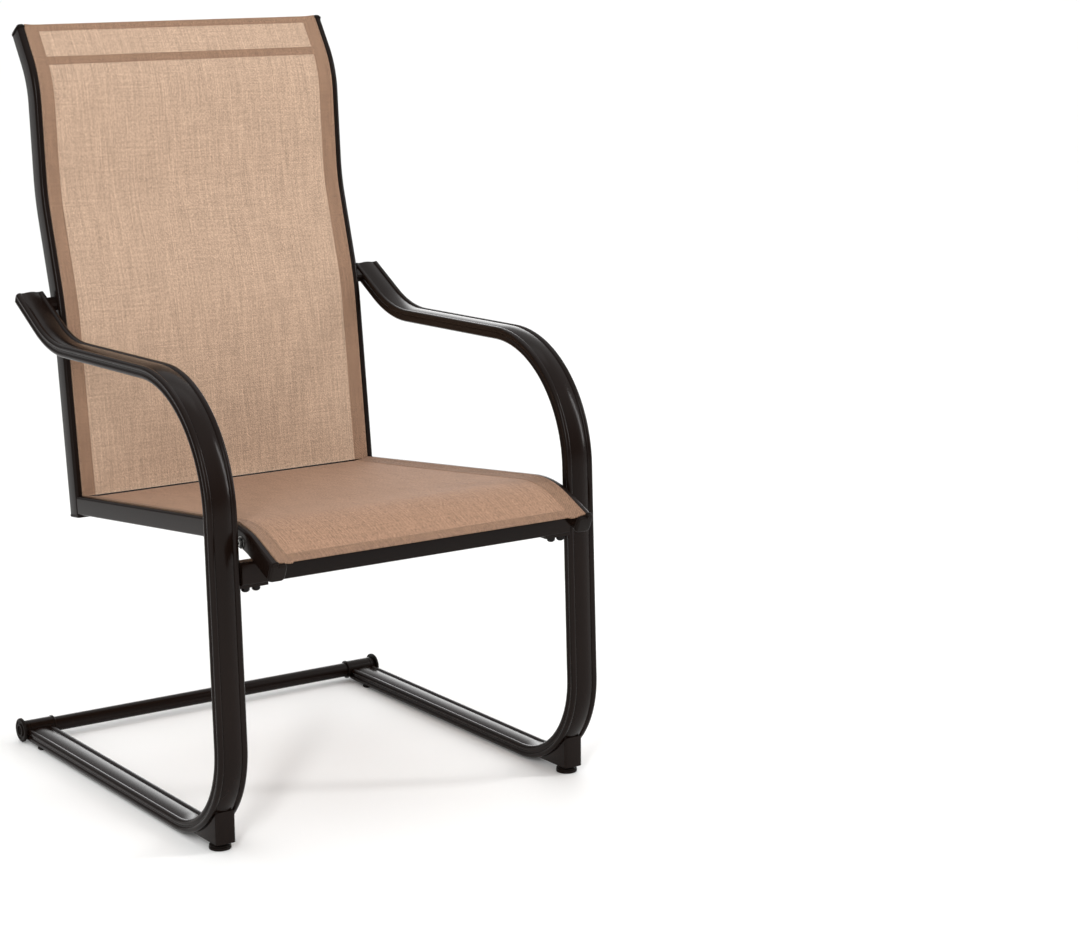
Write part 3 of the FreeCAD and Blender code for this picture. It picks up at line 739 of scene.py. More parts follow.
FRAME_HALF = 278.0
RAIL_OUTER = 248.0
SEAT_TILT = math.radians(6.17)
CREST = (-282.3, 435.2)
FRONT = (-364.0, 398.0)
BACK_FOOT = (214.27, 358.0)
BACK_BENDS = ((247.48, 655.03), (291.88, 810.03), (301.68, 975.03))
CROWN = (347.98, 1045.03)
BACK_RADII = (400.0, 250.0, 130.0)
CREST_RADIUS = 160.0
RAIL_TURN_STEP = 2.0
CLOTH_RUN_STEP = 8.0
CLOTH_TURN_STEP = 1.5


def seat_height(y: float) -> float:
    """Returns the height of the seat's plane behind its crest."""
    return CREST[1] - (y - CREST[0]) * math.tan(SEAT_TILT)


def back_depth(z: float) -> float:
    """Returns where the straight foot of the back line stands at a height."""
    lumbar = BACK_BENDS[0]
    return BACK_FOOT[0] + (z - BACK_FOOT[1]) * (lumbar[0] - BACK_FOOT[0]) / (lumbar[1] - BACK_FOOT[1])


def seat_cloth_line(rear: float = 211.5) -> BentLine:
    """Returns the line of the seat cloth, from just before the back rails over the crest to the front."""
    corners = ((rear, seat_height(rear)), CREST, FRONT)
    return BentLine(corners, (CREST_RADIUS,), CLOTH_RUN_STEP, CLOTH_TURN_STEP)


def back_cloth_line(over: float, low: float = 383.5) -> BentLine:
    """Draws the line of the back cloth, from below the seat to just past the back rails' ends.

    Args:
        over: how far it goes on over the top caps.
        low: height of its lower end.

    Returns:
        The line.
    """
    last_bend, crown = np.array(BACK_BENDS[-1]), np.array(CROWN)
    top = crown + over * (crown - last_bend) / np.linalg.norm(crown - last_bend)
    corners = ((back_depth(low), low), *BACK_BENDS, tuple(top))
    return BentLine(corners, BACK_RADII, CLOTH_RUN_STEP, CLOTH_TURN_STEP)


@dataclass
class SpringTube:
    """One C-shaped tube: runner, spring bend, leg and arm in one piece."""

    side: Side
    material: Material
    barrel_half: float = 13.2
    barrel_edge: float = 6.9
    barrel_steps: int = 9
    crown: float = 9.5
    bead_centre: tuple[float, float] = (16.9, 4.4)
    bead_radius: float = 4.6
    bead_from: float = -49.3
    bead_to: float = 129.1
    bead_steps: int = 15
    spring_low: float = 62.0
    spring_high: float = 170.0
    line: BentLine = BentLine(
        corners=((314.0, 12.5), (-303.3, 12.5), (-283.67, 620.4), (175.5, 611.2), (278.2, 669.3)),
        radii=(131.0, 172.0, 170.0),
    )

    def section(self) -> np.ndarray:
        """Draws the section: beads are circles, the barrel an arc through its edges and crown.

        Returns:
            Points across and outwards, once round.
        """
        bead = arc(self.bead_centre, self.bead_radius, self.bead_from, self.bead_to, self.bead_steps)
        rise = self.crown - self.barrel_edge
        radius = (self.barrel_half ** 2 + rise ** 2) / (2 * rise)
        u = np.linspace(self.barrel_half, 0, self.barrel_steps)
        barrel = np.stack([u, self.crown - radius + np.sqrt(radius ** 2 - u ** 2)], axis=-1)
        quarter = np.concatenate([bead, barrel])
        upper = np.concatenate([quarter, (quarter * [-1, 1])[-2::-1]])
        return np.concatenate([upper, -upper])

    def build(self) -> None:
        """Builds the tube in place of the frame's tubes and spring bends."""
        profile = self.section() + [self.side.value * FRAME_HALF, 0.0]
        points = carry(profile, self.line.stations(), Facing.ALONG)
        word = self.side.word
        piece = make_piece(f"{word}_spring_tube", [capped(points)], self.material)
        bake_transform(piece)
        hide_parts(f"{word}_runner_tube", f"{word}_arm_leg_tube", "spring_bends")
        log.info("%s bends between %s and %s", piece.name, Body.FLOOR.value, Body.SEAT.value)


@dataclass
class FloorBar:
    """The rear bar on the floor, with its sleeves and end caps."""

    steel: Material
    plastic: Material
    y: float = 321.3
    z: float = 18.5
    radius: float = 11.0
    half: float = 301.0
    segments: int = 48
    overlap: float = 1.0
    sleeve_radius: float = 13.0
    sleeve_length: float = 49.0
    sleeve_edge: float = 0.6
    collar_radius: float = 13.9
    collar_length: float = 3.0
    collar_edge: float = 0.4
    ring_places: tuple[float, float] = (-4.0, -8.0)
    ring_depth: float = 0.7
    ring_half: float = 0.7
    ring_floor_half: float = 0.3
    cap_radius: float = 17.7
    cap_depth: float = 5.6
    cap_back: float = 0.4
    rim_radius: float = 2.2
    rim_sunk: float = 1.2
    rim_steps: int = 6
    # the cap's face inside its rim: radius, and depth below the raised ring
    cap_face: Outline = (
        (0.0, 3.2),
        (2.6, 3.2),
        (3.2, 2.2),
        (6.4, 2.2),
        (6.9, 0.4),
        (7.4, 0.0),
        (9.2, 0.0),
        (9.7, 0.4),
        (10.2, 2.4),
        (13.4, 2.4),
        (14.2, 1.2),
    )

    def build(self) -> None:
        """Builds bar, sleeves and caps."""
        outline = [(0.0, -self.half), (self.radius, -self.half), (self.radius, self.half), (0.0, self.half)]
        shell = lathe(outline, (0.0, self.y, self.z), Axis.X, self.segments)
        settle(make_piece("rear_bar", [shell], self.steel), Body.FLOOR, Slot.COAT, "rear_crossbar")
        sleeves = turned_pair(self.sleeve(), self.half, self.y, self.z, self.segments)
        settle(make_piece("sleeves", sleeves, self.steel), Body.FLOOR, Slot.COAT, "rear_sleeves")
        caps = turned_pair(self.cap(), self.half, self.y, self.z, self.segments)
        settle(make_piece("bar_end_caps", caps, self.plastic), Body.FLOOR, Slot.PLASTIC, "rear_end_caps")

    def sleeve(self) -> Outline:
        """Draws a sleeve with two fine rings near the cap and a collar at its inner end.

        Returns:
            Its outline, outwards from the bar's end.
        """
        inner, outer = -self.sleeve_length, 0.0
        step = inner + self.collar_length
        bore = self.radius - self.overlap
        groove = (
            (0.0, self.ring_half),
            (self.ring_depth, self.ring_floor_half),
            (self.ring_depth, -self.ring_floor_half),
            (0.0, -self.ring_half),
        )
        rings = [
            (self.sleeve_radius - sunk, place + shift) for place in self.ring_places for sunk, shift in groove
        ]
        return [
            (bore, outer),
            (self.sleeve_radius - self.sleeve_edge, outer),
            (self.sleeve_radius, outer - self.sleeve_edge),
            *rings,
            (self.sleeve_radius, step),
            (self.collar_radius - self.collar_edge, step),
            (self.collar_radius, step - self.collar_edge),
            (self.collar_radius, inner + self.sleeve_edge),
            (self.collar_radius - self.sleeve_edge, inner),
            (bore, inner),
            (bore, outer),
        ]

    def cap(self) -> Outline:
        """Draws an end cap: a dimple, a raised ring in a dish and a rim that is a quarter circle.

        Returns:
            Its outline, outwards from the bar's end.
        """
        face = [(radius, self.cap_depth - sunk) for radius, sunk in self.cap_face]
        centre = (self.cap_radius - self.rim_radius, self.cap_depth - self.rim_sunk - self.rim_radius)
        rim = arc(centre, self.rim_radius, 90, 0, self.rim_steps).tolist()
        return [*face, *rim, (self.cap_radius, self.cap_back), (0.0, self.cap_back)]


@dataclass
class Toe:
    """The bracket under one spring bend and the levelling foot in it."""

    side: Side
    steel: Material
    plastic: Material
    width: float = 29.0
    front: float = -278.5
    rear: float = -205.0
    bottom: float = 10.0
    bottom_edge: float = 0.8
    corner: float = 4.0
    bend_y: float = -168.0
    bend_z: float = 143.5
    under_radius: float = 140.5
    seam: float = 1.6
    sink: float = 5.0
    least_wall: float = 1.0
    bottom_share: float = 0.955
    core_share: float = 0.93
    foot_y: float = -260.0
    foot_segments: int = 48
    # two rims with a groove between them, a neck, and the stem in the bracket: radius and height
    foot_outline: Outline = (
        (0.0, 0.0),
        (13.6, 0.0),
        (14.7, 0.5),
        (15.0, 1.4),
        (15.0, 3.2),
        (14.6, 3.8),
        (13.2, 3.9),
        (13.2, 4.6),
        (14.2, 4.7),
        (14.6, 5.3),
        (14.6, 6.2),
        (13.9, 6.8),
        (11.5, 6.8),
        (11.3, 7.4),
        (11.3, 9.0),
        (10.7, 9.5),
        (8.0, 9.5),
        (8.0, 26.0),
        (0.0, 26.0),
    )

    def bracket(self) -> Shell:
        """Carries a rounded outline up to an open seam under the bend, then into the tube.

        The underside of the tube is a circle about the centre of the bend; the wall ends below it by the
        seam, and a smaller core goes on to just inside the tube.

        Returns:
            The closed bracket.
        """
        plan = rounded_box(self.width, self.rear - self.front, self.corner)
        plan = plan + [self.side.value * FRAME_HALF, (self.rear + self.front) / 2]
        reach = np.clip(self.under_radius ** 2 - (plan[:, 1] - self.bend_y) ** 2, 0, None)
        under = self.bend_z - np.sqrt(reach)
        wall = np.maximum(under - self.seam, self.bottom + self.least_wall)
        floor = np.full_like(wall, self.bottom)
        levels = np.stack([floor, floor + self.bottom_edge, wall, wall, wall + self.sink])
        share = np.array([self.bottom_share, 1.0, 1.0, self.core_share, self.core_share])
        middle = plan.mean(axis=0)
        ring = middle + share[:, None, None] * (plan - middle)
        return capped(np.concatenate([ring, levels[..., None]], axis=2))

    def build(self) -> None:
        """Builds bracket and foot."""
        word = self.side.word
        bracket = make_piece(f"{word}_toe_bracket", [self.bracket()], self.steel)
        settle(bracket, Body.FLOOR, Slot.COAT, f"{word}_foot_bracket")
        spot = (self.side.value * FRAME_HALF, self.foot_y, 0.0)
        shell = lathe(self.foot_outline, spot, Axis.Z, self.foot_segments)
        foot = make_piece(f"{word}_foot", [shell], self.plastic)
        settle(foot, Body[f"{self.side.name}_FOOT"], Slot.PLASTIC, f"{word}_levelling_foot")


@dataclass
class SeatBar:
    """The front crossbar under the seat, with the bolts of its tabs and ears."""

    steel: Material
    black: Material
    zinc: Material
    y: float = -292.06
    bottom: float = 360.5
    depth: float = 22.0
    height: float = 30.0
    half: float = 255.9
    corner: float = 3.0
    rows: int = 9
    tab_bolts: tuple[float, float] = (246.5, 231.0)
    tab_thick: float = 4.0
    tab_head: float = 5.8
    tab_head_height: float = 7.4
    tab_rim_share: float = 0.45
    dome_steps: int = 8
    dome_segments: int = 24
    ear_setback: float = 5.0
    ear_bolt_z: float = 414.0
    ear_segments: int = 32
    # a socket, a round head and a washer: radius, and distance out of the seat rail
    ear_head: Outline = (
        (0.0, 2.4),
        (2.3, 2.4),
        (2.5, 4.0),
        (3.9, 4.0),
        (4.5, 3.4),
        (4.5, 1.2),
        (7.9, 1.2),
        (8.4, 0.8),
        (8.4, 0.0),
        (0.0, 0.0),
    )
    # the dark collar between head and washer
    ear_collar: Outline = ((0.0, 2.2), (6.8, 2.2), (7.2, 1.8), (7.2, 0.3), (0.0, 0.3))

    def build(self) -> None:
        """Builds the bar, a rounded box carried across the chair, and its bolts."""
        ring = rounded_box(self.depth, self.height, self.corner) + [self.y, self.bottom + self.height / 2]
        size = (self.rows, len(ring))
        across = np.broadcast_to(np.linspace(-self.half, self.half, self.rows)[:, None, None], (*size, 1))
        points = np.concatenate([across, np.broadcast_to(ring, (*size, 2))], axis=2)
        bar = make_piece("seat_crossbar", [capped(points)], self.steel)
        settle(bar, Body.SEAT, Slot.COAT, "front_crossbar")
        spots = [
            (side.value * x, self.y, self.bottom - self.tab_thick) for side in Side for x in self.tab_bolts
        ]
        domes = [lathe(self.dome(), spot, Axis.Z, self.dome_segments) for spot in spots]
        settle(make_piece("tab_bolt_heads", domes, self.black), Body.SEAT, Slot.ZINC, "crossbar_bolts")
        y, z = self.y + self.ear_setback, self.ear_bolt_z
        heads, collars = (
            turned_pair(outline, RAIL_OUTER, y, z, self.ear_segments)
            for outline in (self.ear_head, self.ear_collar)
        )
        settle(make_piece("seat_bolt_heads", heads, self.zinc), Body.SEAT, Slot.ZINC, "seat_rail_bolts")
        settle(make_piece("seat_bolt_collars", collars, self.black), Body.SEAT, Slot.ZINC)

    def dome(self) -> Outline:
        """Draws a bolt head under a tab: half an ellipse below a straight rim.

        Returns:
            Its outline, upwards to the tab.
        """
        rim = self.tab_rim_share * self.tab_head_height
        below = arc((0.0, 0.0), 1.0, -90, 0, self.dome_steps) * [self.tab_head, self.tab_head_height - rim]
        return [*(below - [0.0, rim]).tolist(), (self.tab_head, 0.0), (0.0, 0.0)]


@dataclass
class SlingRails:
    """The bent rails of one side, whose channels hold the edges of seat and back cloth, and their caps."""

    side: Side
    steel: Material
    plastic: Material
    width: float = 22.0
    back: float = 22.6
    lip: float = 4.4
    lip_width: float = 9.0
    lip_round: float = 5.0
    lip_edge: float = 1.0
    corner: float = 2.5
    corner_steps: int = 5
    lip_steps: int = 9
    slot_half: float = 1.2
    channel_inner: float = 7.4
    channel_outer: float = 2.6
    channel_half: float = 2.4
    cap_corner: float = 5.0
    top_under: float = 2.6
    top_shoulder: float = 1.0
    front_under: float = -0.6
    front_shoulder: float = 4.0
    collar: float = 1.6
    collar_height: float = 2.2
    collar_foot: float = 0.5
    collar_edge: float = 0.4
    lid: float = 0.5
    lid_start: float = 0.1
    lid_wall: float = 3.0
    lid_round: float = 2.6
    lid_steps: int = 7

    def section(self, corner: float, middle: np.ndarray) -> np.ndarray:
        """Draws a section: u inwards from the outer face, v out of the cloth's plane.

        Its four rounded corners are quarter circles.

        Args:
            corner: radius of the two corners at the back.
            middle: points between the rounded back and the lip.

        Returns:
            Points once round.
        """
        deep = corner - self.back
        lip_end = (self.lip_width - self.lip_edge, self.lip - self.lip_edge)
        lip_front = (self.lip_round, self.lip - self.lip_round)
        return np.concatenate(
            [
                arc((corner, deep), corner, 180, 270, self.corner_steps),
                arc((self.width - corner, deep), corner, 270, 360, self.corner_steps),
                middle,
                arc(lip_end, self.lip_edge, 0, 90, self.corner_steps),
                arc(lip_front, self.lip_round, 90, 180, self.lip_steps),
            ]
        )

    def channel(self) -> np.ndarray:
        """Returns the points of the channel and its slot."""
        return np.array(
            [
                (self.width, -self.slot_half),
                (self.channel_inner, -self.slot_half),
                (self.channel_inner, -self.channel_half),
                (self.channel_outer, -self.channel_half),
                (self.channel_outer, self.channel_half),
                (self.channel_inner, self.channel_half),
                (self.channel_inner, self.slot_half),
                (self.lip_width, self.slot_half),
            ]
        )

    def placed(self, section: np.ndarray) -> np.ndarray:
        """Returns a section at its place on this side."""
        return section * [-self.side.value, 1] + [self.side.value * RAIL_OUTER, 0]

    def cap(self, stations: Stations, facing: Facing, under: float, shoulder: float) -> Shell:
        """Builds the cap on the last station: a collar, a step and a lid with a quarter-round edge.

        Each level is the rail's outline with rounder corners and no channel, moved along its outward
        normals and carried out of the rail's end.

        Args:
            stations: the rail's line.
            facing: as in carry.
            under: how far its inner part stays under the cloth's plane.
            shoulder: radius of the corner of that part.

        Returns:
            The closed cap.
        """
        rounded = arc((self.width - shoulder, -under - shoulder), shoulder, 0, 90, self.corner_steps)
        outline = self.section(self.cap_corner, np.append(rounded, [(self.lip_width, -under)], axis=0))
        ahead = np.roll(outline, -1, axis=0) - np.roll(outline, 1, axis=0)
        outward = np.stack([ahead[:, 1], -ahead[:, 0]], axis=-1)
        outward = outward / np.linalg.norm(outward, axis=1, keepdims=True)
        edge = arc((self.lid - self.lid_round, self.lid_wall), self.lid_round, 0, 90, self.lid_steps)
        levels = [
            (self.collar - self.collar_foot, 0.0),
            (self.collar, self.collar_foot),
            (self.collar, self.collar_height - self.collar_edge),
            (self.collar - self.collar_edge, self.collar_height),
            (self.lid, self.collar_height + self.lid_start),
            *edge.tolist(),
        ]
        rings = [
            carry(self.placed(outline + shift * outward), stations.past_end(height), facing)
            for shift, height in levels
        ]
        return capped(np.concatenate(rings))

    def build(self) -> None:
        """Builds back rail and seat rail with a cap on each."""
        word = self.side.word
        profile = self.placed(self.section(self.corner, self.channel()))
        back = BentLine((BACK_FOOT, *BACK_BENDS, CROWN), BACK_RADII, turn_step=RAIL_TURN_STEP).stations()
        rear = (BACK_FOOT[0], seat_height(BACK_FOOT[0]))
        seat = BentLine((rear, CREST, FRONT), (CREST_RADIUS,), turn_step=RAIL_TURN_STEP).stations()
        back_points = carry(profile, back, Facing.ALONG)
        seat_points = carry(profile, seat, Facing.AGAINST)
        seat_points[0] = self.mitred(seat_points[0], seat.tangents[0])
        for name, points in (("back", back_points), ("seat", seat_points)):
            rail = make_piece(f"{word}_{name}_frame", [capped(points)], self.steel)
            settle(rail, Body.SEAT, Slot.COAT, f"{word}_{name}_rail")
        for name, node, shell in (
            ("top", "back_top", self.cap(back, Facing.ALONG, self.top_under, self.top_shoulder)),
            ("front", "seat_rail", self.cap(seat, Facing.AGAINST, self.front_under, self.front_shoulder)),
        ):
            cap = make_piece(f"{word}_{name}_cap", [shell], self.plastic)
            settle(cap, Body.SEAT, Slot.PLASTIC, f"{word}_{node}_cap")

    def mitred(self, ring: np.ndarray, forward: np.ndarray) -> np.ndarray:
        """Slides the rear ring of the seat rail along its run on to the front face of the back rail.

        Args:
            ring: points of the section at the rear end.
            forward: direction of the run in the side plane.

        Returns:
            The ring in the plane of the back rail's front face.
        """
        upright = np.array(BACK_BENDS[0]) - np.array(BACK_FOOT)
        upright = upright / np.linalg.norm(upright)
        ahead = np.array([-upright[1], upright[0]])
        face = np.array(BACK_FOOT) + ahead * self.lip
        gap = (face - ring[:, 1:]) @ ahead / (forward @ ahead)
        moved = ring.copy()
        moved[:, 1:] += gap[:, None] * forward
        return moved


@dataclass
class Sling:
    """A stretched panel of mesh with folded hems, as one closed sheet.

    Each cross band is a hem or a sewn band from one side to the other, by its distances from the line's end.
    """

    name: str
    cloth: Material
    thread: Material
    line: BentLine
    facing: Facing
    sag: float
    cross_bands: tuple[tuple[float, float], ...]
    edge_rise: float
    notch: float = 0.0
    notch_depth: float = 18.0
    notch_inset: float = 1.2
    notch_fade: float = 2.8
    over_cap: float = 0.0
    over_cap_half: float = 237.0
    over_cap_step: float = 0.1
    half: float = 240.6
    hem_start: float = 216.6
    edge_start: float = 236.0
    lip_gap: float = 238.8
    climb: float = 0.9
    # painted highlight: how much of the hem's share falls away beside the rails
    pulled_loss: float = 0.4
    arch_power: float = 0.8
    thick: float = 1.2
    hem_rise: float = 0.7
    ramp: float = 0.8
    row_spacing: float = 6.0
    inner_margin: float = 4.0
    inner_columns: int = 41
    hem_columns: tuple[float, ...] = (5.0, 9.0, 13.0, 17.0)
    stitch_pitch: float = 5.0
    stitch_length: float = 3.4
    stitch_width: float = 0.9
    stitch_top: float = 0.45
    stitch_tip: float = 0.05
    stitch_foot: float = -0.4
    hem_stitch: float = 2.5
    band_stitch: float = 1.8
    stitch_margin: float = 4.0

    @property
    def ramp_lines(self) -> np.ndarray:
        """Returns grid places about the edge of a hem: the two ends of its ramp and one beyond each."""
        return self.ramp * np.array([-1.5, -0.5, 0.5, 1.5])

    def hem_share(self, across: np.ndarray, along: np.ndarray, length: float) -> np.ndarray:
        """Returns how far a point is on doubled cloth: a short ramp at each hem's inner edge.

        Beside the rails the share falls a little, so the cloth there is paler: a painted highlight, for the
        reflection where the cloth wraps into the rail.

        Args:
            across: distance from the middle line.
            along: distance from the start of the line.
            length: length of the line.

        Returns:
            Shares from 0 on single cloth to 1 on a hem.
        """
        away = np.abs(across)
        # painted highlight: the hem's share falls towards the rail
        edge_highlight = np.clip((away - self.edge_start) / (self.half - self.edge_start), 0, 1)
        share = np.clip((away - self.hem_start) / self.ramp + 0.5, 0, 1) * (1 - self.pulled_loss * edge_highlight)
        from_end = length - along
        for near, far in self.cross_bands:
            past_near = np.clip((from_end - near) / self.ramp + 0.5, 0, 1)
            before_far = np.clip((far - from_end) / self.ramp + 0.5, 0, 1)
            share = np.maximum(share, past_near * before_far)
        return share

    def lines_across(self) -> np.ndarray:
        """Spaces the grid across the cloth, close together at the hems.

        Returns:
            Distances from the middle line.
        """
        inner_half = self.hem_start - self.inner_margin
        inner = np.linspace(-inner_half, inner_half, self.inner_columns)
        hem = self.hem_start + np.append(self.ramp_lines, self.hem_columns)
        edge = np.append(hem, [self.edge_start, self.lip_gap - self.climb, self.lip_gap, self.half])
        return np.concatenate([-edge[::-1], inner, edge])

    def lines_along(self, length: float) -> np.ndarray:
        """Spaces the grid along the cloth, close together at the bands.

        Args:
            length: length of the line.

        Returns:
            Distances from the start.
        """
        places = [np.linspace(0, length, max(2, math.ceil(length / self.row_spacing)))]
        edges = [edge for band in self.cross_bands for edge in band if edge > 0]
        places += [length - edge + self.ramp_lines for edge in edges]
        if self.over_cap:
            places.append(length - self.over_cap + np.array([0.0, self.over_cap_step]))
        return np.unique(np.clip(np.concatenate(places), 0, length).round(3))

    def surface(
        self, stations: Stations, across: np.ndarray, along: np.ndarray, lift: np.ndarray
    ) -> np.ndarray:
        """Returns points of the cloth: the line at a distance along, shifted by hems, sag and lift.

        The sag is a parabola across the cloth times a sine arch along it. Over the side hems the cloth
        rises as the square of the way to the rail and drops steeply into the slot. Between the side hems
        the front edge is drawn back by the notch, so that the corners hang lower, and over a cap the cloth
        is narrower.

        Args:
            stations: the sampled line.
            across: distances from the middle line.
            along: distances from the start, of the same shape.
            lift: shifts off the cloth's middle face.

        Returns:
            Points in the shape of across, by three.
        """
        length = stations.distance[-1]
        cap_start = length - self.over_cap + self.over_cap_step / 2
        half = np.where(along > cap_start, self.over_cap_half, self.half)
        across = np.clip(across, -half, half)
        away = np.abs(across)
        climb = np.clip((away - self.hem_start) / (self.edge_start - self.hem_start), 0, 1) ** 2
        rise = self.edge_rise * climb * np.clip((self.lip_gap - away) / self.climb, 0, 1)
        inside = np.clip((self.hem_start - self.notch_inset - away) / self.notch_fade, 0, 1)
        along = along - self.notch * inside * np.clip((along - length) / self.notch_depth + 1, 0, 1)
        point, normal = (
            np.stack([np.interp(along, stations.distance, column) for column in rows.T], axis=-1)
            for rows in (stations.points, stations.normals)
        )
        arch = np.sin(math.pi * np.clip(along / length, 0, 1) ** self.arch_power)
        dip = self.sag * (1 - (across / self.half) ** 2) * np.maximum(arch, 0)
        side = point + self.facing.value * (lift + rise - dip)[..., None] * normal
        return np.concatenate([across[..., None], side], axis=-1)

    def build(self, node: str, rails: list[str]) -> None:
        """Builds the cloth, as an upper and a lower grid joined round their rim, and its seams.

        Args:
            node: the frame node that the cloth stands for.
            rails: pieces that hold its edges; not used.
        """
        stations = self.line.stations()
        length = float(stations.distance[-1])
        along, across = np.meshgrid(self.lines_along(length), self.lines_across(), indexing="ij")
        share = self.hem_share(across, along, length)
        upper = self.surface(stations, across, along, self.thick / 2 + self.hem_rise * share)
        lower = self.surface(stations, across, along, np.full_like(across, -self.thick / 2))
        rows, columns = across.shape
        count = rows * columns
        faces = grid_faces(rows, columns, False)
        faces += [[count + corner for corner in face[::-1]] for face in faces]
        index = np.arange(count).reshape(rows, columns)
        rim = np.concatenate([index[0, :-1], index[:-1, -1], index[-1, :0:-1], index[:0:-1, 0]])
        following = np.roll(rim, -1)
        faces += np.stack([rim, following, following + count, rim + count], axis=-1).tolist()
        spots = np.stack([across, along], axis=-1).reshape(-1, 2) * MM
        piece = make_piece(
            self.name,
            [(np.stack([upper, lower]), faces)],
            self.cloth,
            sharp=50.0,
            cloth_map=np.concatenate([spots, spots]),
            hem=np.concatenate([share.ravel(), share.ravel()]),
        )
        settle(piece, Body.SEAT, Slot.MESH, node)
        seams = self.seams(stations, length)
        settle(seams, Body.SEAT, Slot.MESH)

    def seams(self, stations: Stations, length: float) -> Piece:
        """Builds the rows of stitches along the hems.

        Args:
            stations: the sampled line.
            length: its length.

        Returns:
            All stitches as one piece.
        """
        run = np.arange(self.stitch_pitch, length - self.stitch_pitch, self.stitch_pitch)
        rows = [
            (np.full_like(run, side.value * (self.hem_start + self.hem_stitch)), run, True) for side in Side
        ]
        span = np.arange(self.stitch_pitch - self.hem_start, self.hem_start, self.stitch_pitch)
        for near, far in self.cross_bands:
            for place in (length - far + self.band_stitch, length - near - self.band_stitch):
                if place < length - self.stitch_margin:
                    rows.append((span, np.full_like(span, place), False))
        shells = [self.stitch_row(stations, *row) for row in rows]
        return make_piece(f"{self.name}_seams", shells, self.thread, sharp=80.0)

    def stitch_row(
        self, stations: Stations, across: np.ndarray, along: np.ndarray, lengthwise: bool
    ) -> Shell:
        """Builds one row of stitches, each a flattened bead.

        A stitch has a middle ring of four points and two tips; each is laid on the cloth by moving it along
        and across the surface.

        Args:
            stations: the sampled line.
            across: places of the stitches across.
            along: places of the stitches along.
            lengthwise: whether stitches point along the cloth.

        Returns:
            The stitches as one shell.
        """
        long, wide = self.stitch_length / 2, self.stitch_width / 2
        bead = np.array(
            [
                (-long, 0, self.stitch_tip),
                (0, -wide, 0),
                (0, 0, self.stitch_top),
                (0, wide, 0),
                (0, 0, self.stitch_foot),
                (long, 0, self.stitch_tip),
            ]
        )
        ahead, aside = (bead[:, 0], bead[:, 1]) if lengthwise else (bead[:, 1], bead[:, 0])
        share = self.hem_share(across, along, float(stations.distance[-1]))
        lift = self.thick / 2 + self.hem_rise * share[:, None] + bead[:, 2]
        points = self.surface(stations, across[:, None] + aside, along[:, None] + ahead, lift)
        ring, last_tip = (1, 2, 3, 4), 5
        bead_faces = []
        for corner, following in zip(ring, ring[1:] + ring[:1]):
            bead_faces += [[0, corner, following], [last_tip, following, corner]]
        offsets = len(bead) * np.arange(len(across))
        return points, (offsets[:, None, None] + np.array(bead_faces)).reshape(-1, 3).tolist()


@dataclass
class KeptSolids:
    """Solids of the frame that keep their shape: their finish, slot and the rounding of their edges."""

    names: list[str]
    material: Material
    slot: Slot
    edge: float = 0.0
    edge_steps: int = 3
    edge_angle: float = 25.0

    def dress(self, nodes: dict[str, Piece]) -> None:
        """Gives the solids their finish.

        Args:
            nodes: the frame's solids by name.
        """
        for name in self.names:
            solid = nodes[name]
            if self.edge:
                rounding = solid.modifiers.new("edge_rounding", "BEVEL")
                rounding.width = self.edge * MM
                rounding.segments = self.edge_steps
                rounding.limit_method = "ANGLE"
                rounding.angle_limit = math.radians(self.edge_angle)
            if not solid.material_slots:
                solid.data.materials.append(self.material)
            for place in solid.material_slots:
                place.material = self.material
            log.info("%s keeps its solid in %s", name, self.material.name)


@dataclass(frozen=True)
class Softbox:
    """A soft rectangle of light that faces the middle of the chair, in metres and watts."""

    name: str
    place: Place
    width: float
    height: float
    power: float
    aim: Place = (0.0, 0.0, 0.5)

    def hang(self) -> None:
        """Hangs the light."""
        lamp = bpy.data.lights.new(self.name, "AREA")
        lamp.energy = self.power
        lamp.shape = "RECTANGLE"
        lamp.size, lamp.size_y = self.width, self.height
        holder = bpy.data.objects.new(self.name, lamp)
        holder.location = self.place
        way = Vector(self.aim) - Vector(self.place)
        holder.rotation_euler = way.to_track_quat("-Z", "Y").to_euler()
        bpy.context.scene.collection.objects.link(holder)


